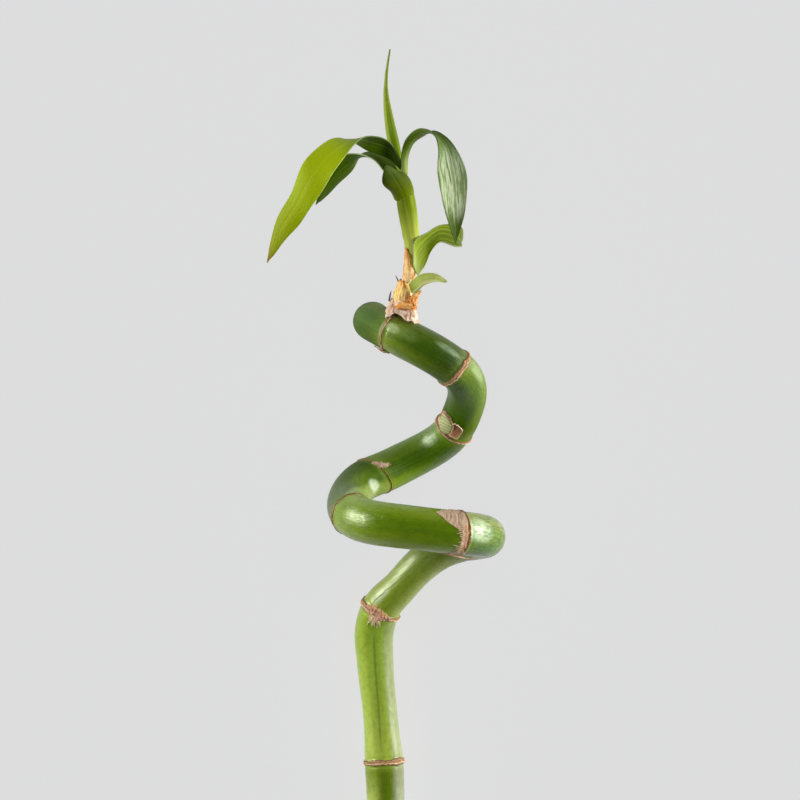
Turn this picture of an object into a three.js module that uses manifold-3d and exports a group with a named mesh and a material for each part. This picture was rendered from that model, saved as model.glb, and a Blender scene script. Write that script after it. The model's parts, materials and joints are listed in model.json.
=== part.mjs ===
// A cut lucky bamboo: a cane grown round in a spiral, with one leafy side shoot near its upper end.
// It lies on a surface at z = 0, in millimetres. +X is right, +Y runs up the cane, +Z is away from the surface.
import * as THREE from "three";
import { mergeVertices } from "three/addons/utils/BufferGeometryUtils.js";
import Module from "manifold-3d";

const GAP = 0.3; // left between two pieces that touch in life
const LEAF = 0.7; // thickness of a blade
const HUSK = 0.6; // thickness of a dry husk scale
const CANE_SIDES = 24;
const CANE_STEP = 5; // between two rows of vertices along the cane
const STEM_SIDES = 14;
const STEM_STEP = 4;
const RIDGE = 0.35; // how far a node ring stands out
const RIDGE_WIDTH = 0.8; // its half width
const RIDGE_ROWS = [-1.5, -0.6, 0, 0.6, 1.5]; // rows of vertices that carry it, from the ring's middle
const LEAN_REACH = 5; // how far along the cane a leaning ring moves the skin beside it
const COIL_AXIS_Z = 28; // the spiral turns about a line at x = 0 and this height
const COIL_STEP = 15; // degrees between two worked-out points of the spiral
const FLOOR = { width: 800, depth: 50 }; // the block that trims the low spots flat

// The straight lower cane: x, y, z and radius.
const STRAIGHT = [
  [-8.9, -166.3, 6.6, 6.6],
  [-9.7, -155.5, 6.7, 7.0],
  [-10.7, -125.0, 6.6, 6.5],
  [-11.4, -106.7, 6.7, 6.7],
  [-12.6, -91.5, 6.1, 6.0],
  [-14.6, -70.7, 6.2, 6.35],
  [-14.9, -61.3, 7.0, 6.75],
  [-12.3, -52.1, 9.7, 6.7],
  [-6.2, -45.2, 13.4, 6.1],
  [0.3, -38.0, 16.2, 6.2],
  [7.6, -32.1, 18.4, 6.7],
];

// The spiral: turn in degrees (0 is right, 90 is away from the surface), spiral radius, y and cane radius.
const COIL = [
  [-24, 16.7, -28.8, 7.1],
  [12, 23.2, -27.0, 7.1],
  [55, 24.3, -25.0, 7.3],
  [90, 23.4, -23.3, 7.3],
  [140, 25.0, -20.6, 7.4],
  [176, 23.7, -15.6, 7.0],
  [212, 22.2, -8.6, 7.0],
  [240, 21.2, -5.1, 7.0],
  [282, 21.6, 2.5, 6.8],
  [307, 20.1, 8.7, 6.7],
  [330, 18.5, 16.8, 6.7],
  [356, 16.9, 23.1, 6.7],
  [409, 15.7, 31.7, 6.7],
  [452, 15.1, 38.0, 6.7],
  [507, 15.1, 44.5, 6.6],
  [538, 15.1, 45.9, 6.5],
  [565, 16.7, 46.6, 6.4],
];

// The node rings: how far along the cane. One that leans sits further along on the side that it leans to,
// given in degrees round from the upper side.
const NODES = [
  { at: 10.8, lean: 0, toward: 0 },
  { at: 60.5, lean: 0, toward: 0 },
  { at: 114.4, lean: 0, toward: 0 },
  { at: 186.4, lean: 1.0, toward: -40 },
  { at: 228.0, lean: 0, toward: 0 },
  { at: 260.3, lean: 2.8, toward: -95 },
  { at: 295.4, lean: 0, toward: 0 },
  { at: 331.0, lean: 0.8, toward: -20 },
  { at: 355.3, lean: 0.5, toward: -50 },
];

// A shallow furrow down one internode: where it runs, degrees round from the upper side, half width in degrees.
const FURROW = { from: 64, to: 108, side: 8, half: 15, depth: 0.5 };
// The resting side bud: how far along, degrees round, half its width, length and height, how deep it sits.
const BUD = { at: 300.2, side: 37, size: [2.5, 4.0, 1.5], sink: 0.4 };
// The bud's dry scale: how far along, degrees round of its two margins, height over the cane.
const BUD_SCALE = [
  { at: 296.9, sides: [-4, -23], lift: 0.75 },
  { at: 299.2, sides: [2, -21], lift: 0.95 },
  { at: 301.5, sides: [6, -17], lift: 1.25 },
  { at: 303.7, sides: [13, -2], lift: 1.6 },
];
const BUD_SCALE_BULGE = 0.3;

// Swept stems: x, y, z and radius.
const SHOOT_STEM = [
  [-4.6, 45.6, 41.5, 2.0],
  [-5.3, 50.9, 42.8, 1.9],
  [-3.9, 59.6, 43.4, 1.35],
  [-2.9, 64.3, 43.4, 1.35],
  [-2.0, 71.0, 43.5, 2.45],
  [-2.8, 78.4, 43.7, 3.05],
  [-4.1, 87.4, 43.7, 3.1],
  [-4.9, 93.8, 43.2, 2.0],
  [-5.1, 95.2, 43.1, 1.2],
];
const SPEAR = [
  [-5.5, 95.9, 42.5, 1.1],
  [-7.8, 104.7, 41.8, 1.95],
  [-9.5, 113.4, 42.1, 1.6],
  [-10.6, 122.8, 42.2, 0.85],
  [-10.4, 129.0, 42.2, 0.55],
  [-9.3, 137.1, 42.2, 0.3],
];
const SPEAR_SIDES = 10;

// Blades from base to tip: x, y, z of one margin, x, y, z of the other, and how far the middle stands out.
// `wrap` is half the angle the blade closes round, and `wave` the height of the ripple along its margins.
const BLADES = {
  husk_collar: {
    wrap: 140, across: 10, steps: 6, thick: HUSK, wave: 0.35, ripples: 2.5,
    rows: [
      [-11.2, 45.6, 42.5, 0.1, 44.7, 42.5, 4.6],
      [-11.0, 47.6, 42.5, 0.0, 46.6, 42.5, 4.4],
      [-9.6, 51.6, 43.0, -0.9, 50.6, 43.0, 3.4],
      [-8.5, 53.4, 43.2, -1.8, 52.3, 43.2, 2.9],
    ],
  },
  husk_scale: {
    wrap: 125, across: 8, steps: 6, thick: HUSK, wave: 0.2, ripples: 2,
    rows: [
      [-8.2, 51.8, 43.0, -1.8, 52.9, 43.0, 3.6],
      [-8.3, 53.9, 43.2, -1.9, 54.9, 43.2, 3.5],
      [-7.6, 56.3, 43.4, -2.3, 56.9, 43.4, 3.2],
      [-5.9, 59.6, 43.8, -4.4, 59.5, 43.8, 2.2],
    ],
  },
  husk_flap: {
    wrap: 30, across: 4, steps: 6, thick: HUSK, wave: 0.15, ripples: 1.5,
    rows: [
      [-3.9, 49.6, 47.2, -0.3, 49.9, 45.0, 0.5],
      [-4.3, 51.4, 48.2, -0.2, 52.3, 45.6, 0.6],
      [-3.6, 53.1, 48.6, 0.1, 54.4, 45.8, 0.6],
      [-1.9, 54.3, 48.2, 0.6, 55.3, 45.8, 0.4],
      [0.1, 55.4, 47.0, 1.0, 56.1, 46.0, 0.1],
    ],
  },
  husk_sheath: {
    wrap: 135, across: 8, steps: 7, thick: HUSK, wave: 0.1, ripples: 1.5,
    rows: [
      [-5.5, 59.3, 43.4, -1.6, 58.8, 43.4, 2.9],
      [-5.0, 61.3, 43.4, -0.7, 60.8, 43.4, 2.9],
      [-4.7, 63.6, 43.4, -0.7, 63.6, 43.4, 2.8],
      [-4.3, 68.7, 43.4, -2.0, 67.8, 43.4, 2.4],
      [-4.2, 70.5, 43.6, -3.1, 70.2, 43.6, 2.2],
    ],
  },
  leaf_small: {
    wrap: 40, across: 4, steps: 10, thick: LEAF, wave: 0.1, ripples: 1.5,
    rows: [
      [-2.8, 58.0, 46.0, -1.9, 55.0, 47.0, 0.4],
      [-0.9, 60.0, 47.0, 0.1, 55.8, 48.0, 0.6],
      [1.6, 61.4, 48.0, 2.0, 57.6, 49.3, 0.7],
      [5.9, 61.4, 48.5, 5.9, 58.7, 49.8, 0.5],
      [9.9, 59.0, 47.3, 9.5, 58.5, 47.8, 0],
    ],
  },
  leaf_front_hood: {
    wrap: 80, across: 6, steps: 12, thick: LEAF, wave: 0.1, ripples: 1,
    rows: [
      [-7.5, 86.0, 45.2, -1.1, 86.4, 44.6, 2.2],
      [-8.8, 88.7, 47.2, -1.5, 90.0, 46.2, 2.2],
      [-11.7, 91.6, 51.8, -3.8, 94.4, 48.5, 1.9],
      [-11.4, 95.3, 54.5, -7.9, 96.2, 51.5, 1.0],
      [-10.7, 97.4, 55.0, -9.9, 97.3, 54.0, 0],
    ],
  },
  leaf_lower_right: {
    wrap: 50, across: 6, steps: 22, thick: LEAF, wave: 0.15, ripples: 2.5,
    rows: [
      [0.1, 60.9, 45.4, -1.4, 64.9, 46.9, 0.6],
      [2.6, 64.5, 44.0, -1.1, 72.1, 47.4, 1.3],
      [4.5, 69.4, 41.5, 3.5, 75.8, 41.0, 0.9],
      [7.7, 72.6, 38.0, 8.3, 78.7, 34.3, 0.8],
      [12.8, 71.3, 33.0, 14.7, 78.3, 25.5, 0.8],
      [15.2, 71.7, 25.5, 15.6, 74.9, 18.5, 0.5],
      [14.0, 72.0, 14.5, 14.2, 72.6, 13.5, 0],
    ],
  },
  leaf_right: {
    wrap: 40, across: 6, steps: 30, thick: LEAF, wave: 0.2, ripples: 4,
    rows: [
      [-5.1, 95.3, 46.6, -3.5, 94.9, 45.0, 0.6],
      [-5.7, 100.5, 48.0, -3.3, 100.7, 45.4, 0.9],
      [-4.1, 105.9, 51.0, -1.5, 105.1, 47.4, 1.1],
      [0.2, 109.4, 56.5, 1.9, 107.5, 51.0, 1.0],
      [4.8, 107.6, 62.0, 5.7, 108.4, 55.5, 0.7],
      [6.7, 102.0, 64.5, 11.2, 104.6, 60.0, 1.0],
      [6.5, 94.0, 65.0, 15.7, 95.3, 61.5, 1.2],
      [8.4, 83.9, 63.5, 16.0, 84.5, 60.0, 1.1],
      [12.2, 71.1, 58.5, 12.8, 71.3, 57.8, 0],
    ],
  },
  leaf_left_front: {
    wrap: 40, across: 6, steps: 32, thick: LEAF, wave: 0.25, ripples: 5,
    rows: [
      [-5.8, 99.6, 47.0, -5.7, 96.4, 44.3, 0.5],
      [-9.6, 105.4, 50.5, -10.1, 100.2, 45.5, 0.9],
      [-15.9, 106.7, 57.0, -17.1, 102.5, 49.5, 1.0],
      [-20.9, 103.7, 63.0, -22.6, 105.8, 52.5, 0.8],
      [-26.6, 95.7, 67.5, -29.1, 105.3, 58.0, 0.9],
      [-32.2, 86.9, 68.0, -36.6, 99.0, 62.5, 1.1],
      [-38.5, 77.7, 66.5, -42.0, 86.9, 63.5, 1.0],
      [-44.1, 71.4, 64.5, -46.7, 78.1, 62.5, 0.7],
      [-49.4, 64.5, 62.5, -50.0, 64.7, 62.0, 0],
    ],
  },
  leaf_left_back: {
    wrap: 40, across: 6, steps: 22, thick: LEAF, wave: 0.2, ripples: 3,
    rows: [
      [-6.9, 92.8, 43.6, -6.9, 98.0, 40.2, -0.3],
      [-11.3, 96.1, 41.5, -11.3, 101.3, 37.0, -0.6],
      [-14.4, 100.0, 39.5, -14.4, 102.9, 34.5, -0.7],
      [-19.4, 102.1, 36.5, -19.2, 102.5, 30.0, -0.7],
      [-25.2, 102.4, 33.5, -22.4, 97.4, 27.5, -0.8],
      [-30.9, 96.7, 31.0, -28.1, 91.9, 26.0, -0.7],
      [-34.2, 88.0, 29.0, -32.8, 87.3, 26.5, -0.3],
      [-34.9, 85.7, 28.0, -34.5, 85.9, 27.0, 0],
    ],
  },
};
const RIPPLE_SHIFT = 1.3; // radians by which one margin's ripple runs ahead of the other's
const RIPPLE_TAPER = 0.25; // the part of a blade over which its ripple grows in at either end

const wasm = await Module();
wasm.setup();

const vec = (a) => new THREE.Vector3(a[0], a[1], a[2]);
const radians = THREE.MathUtils.degToRad;

// Rows of numbers become one smooth curve, read at a place between the first and the last of `at`.
function through(at, rows) {
  const curve = new THREE.CubicInterpolant(at, rows.flat(), rows[0].length);
  return (t) => [...curve.evaluate(THREE.MathUtils.clamp(t, at[0], at[at.length - 1]))];
}

// The same, read by the distance along the rows' points.
function smooth(rows, point = vec) {
  const at = [0];
  for (let i = 1; i < rows.length; i++) {
    at.push(at[i - 1] + point(rows[i]).distanceTo(point(rows[i - 1])));
  }
  return { length: at[at.length - 1], read: through(at, rows) };
}

function direction(curve, t, point = vec) {
  const reach = 0.2;
  return point(curve.read(t + reach)).sub(point(curve.read(t - reach))).normalize();
}

// A curve's points with a frame each that turns as little as it can.
function framed(curve, stations) {
  let normal = new THREE.Vector3(0, 0, 1);
  return stations.map((t) => {
    const row = curve.read(t);
    const tangent = direction(curve, t);
    normal = normal.clone().addScaledVector(tangent, -normal.dot(tangent)).normalize();
    const side = new THREE.Vector3().crossVectors(normal, tangent);
    return { t, centre: vec(row), radius: row[3], tangent, normal, side };
  });
}

function evenly(from, to, step) {
  const count = Math.ceil((to - from) / step);
  return Array.from({ length: count + 1 }, (_, i) => from + ((to - from) * i) / count);
}

function solid(geometry) {
  geometry.deleteAttribute("normal");
  geometry.deleteAttribute("uv");
  const merged = mergeVertices(geometry, 1e-4);
  return new wasm.Manifold(
    new wasm.Mesh({
      numProp: 3,
      vertProperties: merged.attributes.position.array,
      triVerts: new Uint32Array(merged.index.array),
    }),
  );
}

function mesh(name, body) {
  const made = body.getMesh();
  const geometry = new THREE.BufferGeometry();
  geometry.setAttribute("position", new THREE.BufferAttribute(made.vertProperties, 3));
  geometry.setIndex(new THREE.BufferAttribute(made.triVerts, 1));
  const out = new THREE.Mesh(geometry);
  out.name = name;
  return out;
}

// A closed cylinder bent along a framed curve; `place` gives the point for a frame and an angle.
function sweep(frames, sides, place) {
  const steps = frames.length - 1;
  const geometry = new THREE.CylinderGeometry(1, 1, 1, sides, steps);
  const position = geometry.attributes.position;
  for (let i = 0; i < position.count; i++) {
    const frame = frames[Math.round((position.getY(i) + 0.5) * steps)];
    const onAxis = Math.hypot(position.getX(i), position.getZ(i)) < 0.5;
    const angle = Math.atan2(position.getZ(i), position.getX(i));
    const p = onAxis ? frame.centre : place(frame, angle);
    position.setXYZ(i, p.x, p.y, p.z);
  }
  return solid(geometry);
}

function outward(frame, angle) {
  return frame.normal
    .clone()
    .multiplyScalar(Math.cos(angle))
    .addScaledVector(frame.side, Math.sin(angle));
}

function coilPoint([turn, radius, y, thick]) {
  return [
    radius * Math.cos(radians(turn)),
    y,
    COIL_AXIS_Z + radius * Math.sin(radians(turn)),
    thick,
  ];
}

function caneCurve() {
  const turns = COIL.map((row) => row[0]);
  const read = through(turns, COIL);
  const coil = evenly(turns[0], turns[turns.length - 1], COIL_STEP).map((turn) => coilPoint(read(turn)));
  return smooth([...STRAIGHT, ...coil]);
}

const CANE = caneCurve();

function caneStations() {
  const rings = NODES.flatMap((n) => RIDGE_ROWS.map((d) => n.at + d));
  const clear = (t) => NODES.every((n) => Math.abs(t - n.at) > CANE_STEP / 2);
  const between = evenly(0, CANE.length, CANE_STEP).filter(clear);
  return [...rings, ...between].sort((a, b) => a - b);
}

// A bump of height 1 about zero that dies away over `width`.
const bump = (offset, width) => Math.exp(-((offset / width) ** 2));

// Radians round the cane from its upper side.
function fromTop(frame, away) {
  const z = new THREE.Vector3(0, 0, 1);
  const top = z.addScaledVector(frame.tangent, -z.dot(frame.tangent)).normalize();
  const side = new THREE.Vector3().crossVectors(top, frame.tangent);
  return Math.atan2(away.dot(side), away.dot(top));
}

// How far the skin is moved along the cane by the rings that lean.
function slide(frame, away) {
  const round = fromTop(frame, away);
  return NODES.reduce((along, node) => {
    const lean = node.lean * Math.cos(round - radians(node.toward));
    return along + bump(frame.t - node.at, LEAN_REACH) * lean;
  }, 0);
}

function caneRadius(frame, angle) {
  const ridge = NODES.reduce((sum, n) => sum + bump(frame.t - n.at, RIDGE_WIDTH), 0);
  const turn = Math.atan2(Math.sin(angle - radians(FURROW.side)), Math.cos(angle - radians(FURROW.side)));
  const inFurrow = frame.t > FURROW.from && frame.t < FURROW.to;
  const furrow = inFurrow ? FURROW.depth * bump(turn, radians(FURROW.half)) : 0;
  return frame.radius + RIDGE * ridge - furrow;
}

function caneSkin(frame, angle, lift) {
  const away = outward(frame, angle);
  const radius = caneRadius(frame, angle) + lift;
  return frame.centre
    .clone()
    .addScaledVector(away, radius)
    .addScaledVector(frame.tangent, slide(frame, away));
}

// A frame of the cane at one distance, whose angle 0 is the side away from the surface.
function caneFrame(t) {
  return framed(CANE, [t])[0];
}

function caneBody(lift) {
  const frames = framed(CANE, caneStations());
  return sweep(frames, CANE_SIDES, (f, a) => caneSkin(f, a, lift));
}

function bud() {
  const frame = caneFrame(BUD.at);
  const away = outward(frame, radians(BUD.side));
  const seat = frame.centre.clone().addScaledVector(away, frame.radius - BUD.sink);
  const across = new THREE.Vector3().crossVectors(frame.tangent, away);
  const geometry = new THREE.SphereGeometry(1, 12, 8);
  geometry.scale(BUD.size[0], BUD.size[1], BUD.size[2]);
  geometry.applyMatrix4(new THREE.Matrix4().makeBasis(across, frame.tangent, away).setPosition(seat));
  return solid(geometry);
}

// A thin sheet from a box: u runs across it from -1 to 1, v from base to tip. `grow` widens it on every side.
function sheet(surface, across, steps, thick, grow) {
  const geometry = new THREE.BoxGeometry(2, 1, 1, across, steps, 1);
  const position = geometry.attributes.position;
  const tiny = 1e-3;
  for (let i = 0; i < position.count; i++) {
    const u = position.getX(i);
    const v = position.getY(i) + 0.5;
    const centre = surface(u, v);
    const du = surface(Math.min(u + tiny, 1), v).sub(surface(Math.max(u - tiny, -1), v)).normalize();
    const dv = surface(u, Math.min(v + tiny, 1)).sub(surface(u, Math.max(v - tiny, 0))).normalize();
    const normal = new THREE.Vector3().crossVectors(du, dv).normalize();
    centre.addScaledVector(normal, position.getZ(i) * (thick + 2 * grow));
    if (Math.abs(u) > 1 - tiny) centre.addScaledVector(du, Math.sign(u) * grow);
    if (v < tiny || v > 1 - tiny) centre.addScaledVector(dv, Math.sign(v - 0.5) * grow);
    position.setXYZ(i, centre.x, centre.y, centre.z);
  }
  return solid(geometry);
}

// The surface between two margins, standing out by the rows' last number in its middle and closing round by `wrap`.
function bladeSurface({ rows, wrap, wave, ripples }) {
  const middle = (r) => vec(r).add(vec(r.slice(3))).multiplyScalar(0.5);
  const curve = smooth(rows, middle);
  const open = radians(Math.min(wrap, 90));
  return (u, v) => {
    const row = curve.read(v * curve.length);
    const half = vec(row.slice(3)).sub(vec(row)).multiplyScalar(0.5);
    const out = new THREE.Vector3().crossVectors(half, direction(curve, v * curve.length, middle)).normalize();
    const turn = u * radians(wrap);
    const bulge = (row[6] * (Math.cos(turn) - Math.cos(open))) / (1 - Math.cos(open));
    const taper = Math.min(1, v / RIPPLE_TAPER, (1 - v) / RIPPLE_TAPER);
    const phase = 2 * Math.PI * ripples * v + (u > 0 ? RIPPLE_SHIFT : 0);
    return middle(row)
      .addScaledVector(half, Math.sin(turn) / Math.sin(open))
      .addScaledVector(out, bulge + wave * taper * u * u * Math.sin(phase));
  };
}

function blade(spec, grow) {
  return sheet(bladeSurface(spec), spec.across, spec.steps, spec.thick, grow);
}

function stem(rows, sides, grow) {
  const curve = smooth(rows);
  const frames = framed(curve, evenly(0, curve.length, STEM_STEP));
  const first = frames[0];
  const last = frames[frames.length - 1];
  first.centre.addScaledVector(first.tangent, -grow);
  last.centre.addScaledVector(last.tangent, grow);
  return sweep(frames, sides, (f, a) =>
    f.centre.clone().addScaledVector(outward(f, a), f.radius + grow),
  );
}

function budScale(grow) {
  const rows = BUD_SCALE.map(({ at, sides, lift }) => {
    const frame = caneFrame(at);
    const [a, b] = sides.map((s) => caneSkin(frame, radians(s), lift));
    return [...a.toArray(), ...b.toArray(), BUD_SCALE_BULGE];
  });
  return blade({ rows, wrap: 30, wave: 0, ripples: 0, across: 3, steps: 4, thick: HUSK }, grow);
}

function largest(body) {
  return body.decompose().sort((a, b) => b.volume() - a.volume())[0];
}

function cane(grow) {
  const ground = wasm.Manifold.cube([FLOOR.width, FLOOR.width, FLOOR.depth], true).translate([
    0,
    0,
    -FLOOR.depth / 2,
  ]);
  return largest(caneBody(grow).add(bud()).subtract(ground));
}

const group = new THREE.Group();
const grown = [];

// Each piece is cleared of those before it, so that the gap between two is never less than GAP.
function add(name, make) {
  const body = grown.reduce((left, other) => left.subtract(other), make(0));
  group.add(mesh(name, largest(body)));
  grown.push(make(GAP));
}

function addBlades(...names) {
  for (const name of names) {
    add(name, (grow) => blade(BLADES[name], grow));
  }
}

add("cane", cane);
add("bud_scale", budScale);
add("shoot_stem", (grow) => stem(SHOOT_STEM, STEM_SIDES, grow));
addBlades("husk_collar", "husk_scale", "husk_flap", "husk_sheath");
addBlades("leaf_small", "leaf_lower_right", "leaf_front_hood", "leaf_right");
add("leaf_spear", (grow) => stem(SPEAR, SPEAR_SIDES, grow));
addBlades("leaf_left_front", "leaf_left_back");

export default group;
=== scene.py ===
"""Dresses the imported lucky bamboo: the spiral cane, its leafy side shoot and the dry husk between them.

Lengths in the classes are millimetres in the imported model's own frame, and become metres when a mesh is
written. Angles round the cane are degrees from its upper side, the side away from the surface.
"""

import json
import logging
import math
from bisect import bisect_right
from collections.abc import Callable, Sequence
from dataclasses import dataclass
from enum import Enum

import bmesh
import bpy
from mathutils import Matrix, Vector, noise

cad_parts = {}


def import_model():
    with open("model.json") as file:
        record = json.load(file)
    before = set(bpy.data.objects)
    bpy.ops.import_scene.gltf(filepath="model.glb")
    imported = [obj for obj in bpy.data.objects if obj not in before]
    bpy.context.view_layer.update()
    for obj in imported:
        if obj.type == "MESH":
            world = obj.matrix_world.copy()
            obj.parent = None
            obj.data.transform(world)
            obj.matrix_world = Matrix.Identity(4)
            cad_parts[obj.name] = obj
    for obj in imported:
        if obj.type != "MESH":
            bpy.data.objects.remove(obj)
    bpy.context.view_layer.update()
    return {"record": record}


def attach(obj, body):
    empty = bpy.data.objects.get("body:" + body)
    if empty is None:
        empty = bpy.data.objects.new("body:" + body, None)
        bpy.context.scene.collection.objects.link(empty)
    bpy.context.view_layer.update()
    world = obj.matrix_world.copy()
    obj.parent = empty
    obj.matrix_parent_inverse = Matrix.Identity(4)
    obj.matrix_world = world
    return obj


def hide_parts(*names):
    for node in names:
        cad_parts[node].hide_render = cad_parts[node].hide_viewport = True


LOG = logging.getLogger("lucky_bamboo")
MM = 0.001
BODY = "root"

Row = tuple[float, ...]
Colour = tuple[float, float, float, float]
Stops = tuple[tuple[float, Colour], ...]


class Slot(Enum):
    """The record's material slots."""

    CANE = "cane"
    SHOOT = "shoot"
    LEAF_LIGHT = "leaf_light"
    LEAF_DARK = "leaf_dark"
    LEAF_STRIPED = "leaf_striped"
    HUSK_PALE = "husk_pale"
    HUSK_ORANGE = "husk_orange"


Skin = tuple[bpy.types.Material, Slot]


class Tissue(Enum):
    """How a piece of dry tissue looks."""

    BAND = "band"
    DARK_BAND = "dark_band"
    PAPER = "paper"
    KNOT = "knot"
    SCAR = "scar"
    BUD = "bud"
    HOLLOW = "hollow"
    BRISTLE = "bristle"


def shade(red: float, green: float, blue: float) -> Colour:
    """Turns a screen colour into the linear one that Blender's sockets hold.

    Args:
        red: The red part, 0 to 255.
        green: The green part, 0 to 255.
        blue: The blue part, 0 to 255.

    Returns:
        The linear colour with an alpha of 1.
    """
    parts = [value / 255 for value in (red, green, blue)]
    linear = [p / 12.92 if p <= 0.04045 else ((p + 0.055) / 1.055) ** 2.4 for p in parts]
    return (*linear, 1.0)


def stops(*rows: tuple[float, float, float, float]) -> Stops:
    """Makes a ramp's stops from rows of a place and a screen colour's three parts."""
    return tuple((place, shade(*colour)) for place, *colour in rows)


def bump_at(offset: float, width: float) -> float:
    """Gives a bump of height 1 at zero that dies away over a width."""
    return math.exp(-((offset / width) ** 2))


def ease(value: float, low: float, high: float) -> float:
    """Rises smoothly from 0 at `low` to 1 at `high`."""
    part = min(max((value - low) / (high - low), 0.0), 1.0)
    return part * part * (3 - 2 * part)


def grain(seed: float, along: float, across: float = 0.0) -> float:
    """Gives a smooth random number from about -1 to 1, the same at each run.

    Args:
        seed: Which random line to read.
        along: The place along it.
        across: The place across it.

    Returns:
        The number.
    """
    return 2 * noise.noise(Vector((along, across, seed * 7.31 + 0.5)))


def evenly(first: float, last: float, step: float) -> list[float]:
    """Lists numbers from first to last, about a step apart.

    Args:
        first: The first number.
        last: The last number.
        step: The largest step.

    Returns:
        The numbers.
    """
    count = max(math.ceil((last - first) / step), 1)
    return [first + (last - first) * i / count for i in range(count + 1)]


class Smooth:
    """Rows of numbers as one smooth curve, with the slopes that the CAD's own curve has."""

    def __init__(self, places: Sequence[float], rows: Sequence[Row]) -> None:
        """Works out the slope at each row.

        Args:
            places: Where each row lies, in rising order.
            rows: The rows of numbers.
        """
        self.places = places
        self.rows = rows
        spans = [b - a for a, b in zip(places, places[1:])]
        steps = [
            [(q - p) / span for p, q in zip(first, second)]
            for first, second, span in zip(rows, rows[1:], spans)
        ]
        inner = [[(p + q) / 2 for p, q in zip(a, b)] for a, b in zip(steps, steps[1:])]
        self.slopes = [steps[0], *inner, steps[-1]]

    def read(self, place: float) -> list[float]:
        """Reads the curve at one place.

        Args:
            place: The place, held between the first and the last row.

        Returns:
            The row of numbers there.
        """
        place = min(max(place, self.places[0]), self.places[-1])
        i = min(max(bisect_right(self.places, place) - 1, 0), len(self.places) - 2)
        span = self.places[i + 1] - self.places[i]
        w = (place - self.places[i]) / span
        start, lean = 2 * w**3 - 3 * w**2 + 1, w**3 - 2 * w**2 + w
        end, fall = 1 - start, w**3 - w**2
        return [
            start * a + lean * span * m + end * b + fall * span * n
            for a, b, m, n in zip(self.rows[i], self.rows[i + 1], self.slopes[i], self.slopes[i + 1])
        ]


class Margins:
    """A sheet's place on the cane, from evenly spread rows of a distance, two margins and a lift."""

    def __init__(self, rows: Sequence[Row]) -> None:
        """Lays a curve through the rows."""
        count = len(rows) - 1
        self.curve = Smooth([i / count for i in range(count + 1)], rows)

    def read(self, u: float, v: float) -> tuple[float, float, float]:
        """Reads one point of the sheet.

        Args:
            u: The part across, from -1 to 1.
            v: The part along, from 0 to 1.

        Returns:
            The distance along the cane, the degrees round it and the lift over it.
        """
        at, first, second, lift = self.curve.read(v)
        return at, (first + second) / 2 + u * (second - first) / 2, lift


@dataclass(frozen=True)
class Station:
    """One place along a path, with a frame that turns as little as it can."""

    place: float
    centre: Vector
    radius: float
    along: Vector
    up: Vector
    side: Vector

    def away(self, angle: float) -> Vector:
        """Gives the direction out of the path at an angle in radians."""
        return self.up * math.cos(angle) + self.side * math.sin(angle)


class Path:
    """A smooth line through rows whose first three numbers are a point, read by the distance along it."""

    def __init__(self, rows: Sequence[Row], point: Callable[[Row], Vector] | None = None) -> None:
        """Measures the rows.

        Args:
            rows: The rows, each with a point and what else belongs to it.
            point: How a row gives its point, where it isn't its first three numbers.
        """
        self.point_of = point or (lambda row: Vector(row[:3]))
        places = [0.0]
        for first, second in zip(rows, rows[1:]):
            places.append(places[-1] + (self.point_of(second) - self.point_of(first)).length)
        self.length = places[-1]
        self.curve = Smooth(places, rows)

    def row(self, place: float) -> list[float]:
        """Reads the whole row at a distance."""
        return self.curve.read(place)

    def point(self, place: float) -> Vector:
        """Reads the point at a distance."""
        return self.point_of(self.row(place))

    def heading(self, place: float, reach: float = 0.2) -> Vector:
        """Reads which way the line runs at a distance."""
        return (self.point(place + reach) - self.point(place - reach)).normalized()

    def stations(self, places: Sequence[float]) -> list[Station]:
        """Makes the frames at some distances.

        Args:
            places: The distances, in rising order.

        Returns:
            A station for each.
        """
        up = Vector((0, 0, 1))
        made = []
        for place in places:
            row = self.row(place)
            along = self.heading(place)
            up = (up - along * up.dot(along)).normalized()
            made.append(Station(place, self.point_of(row), row[3], along, up, up.cross(along)))
        return made


class Wire:
    """A node's output, which can be reckoned with like a number: each sum places a Math node."""

    def __init__(self, desk: "NodeDesk", socket: bpy.types.NodeSocket) -> None:
        """Keeps the output and the desk that its sums go to."""
        self.desk = desk
        self.socket = socket

    def __add__(self, other: object) -> "Wire":
        """Adds a number or a wire."""
        return self.desk.maths("ADD", self, other)

    def __sub__(self, other: object) -> "Wire":
        """Takes away a number or a wire."""
        return self.desk.maths("SUBTRACT", self, other)

    def __rsub__(self, other: float) -> "Wire":
        """Takes this away from a number."""
        return self.desk.maths("SUBTRACT", other, self)

    def __mul__(self, other: object) -> "Wire":
        """Multiplies by a number or a wire."""
        return self.desk.maths("MULTIPLY", self, other)

    def __truediv__(self, other: object) -> "Wire":
        """Divides by a number or a wire."""
        return self.desk.maths("DIVIDE", self, other)

    def __abs__(self) -> "Wire":
        """Drops the sign."""
        return self.desk.maths("ABSOLUTE", self)

    def squared(self) -> "Wire":
        """Multiplies this by itself."""
        return self.desk.maths("POWER", self, 2.0)

    def rise(self, low: object, high: object) -> "Wire":
        """Rises smoothly from 0 where this is `low` to 1 where it is `high`."""
        inputs = {"Value": self, "From Min": low, "From Max": high}
        return self.desk.wire("ShaderNodeMapRange", "Result", inputs, interpolation_type="SMOOTHSTEP")

    def fall(self, low: object, high: object) -> "Wire":
        """Falls smoothly from 1 where this is `low` to 0 where it is `high`."""
        return 1.0 - self.rise(low, high)


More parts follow.
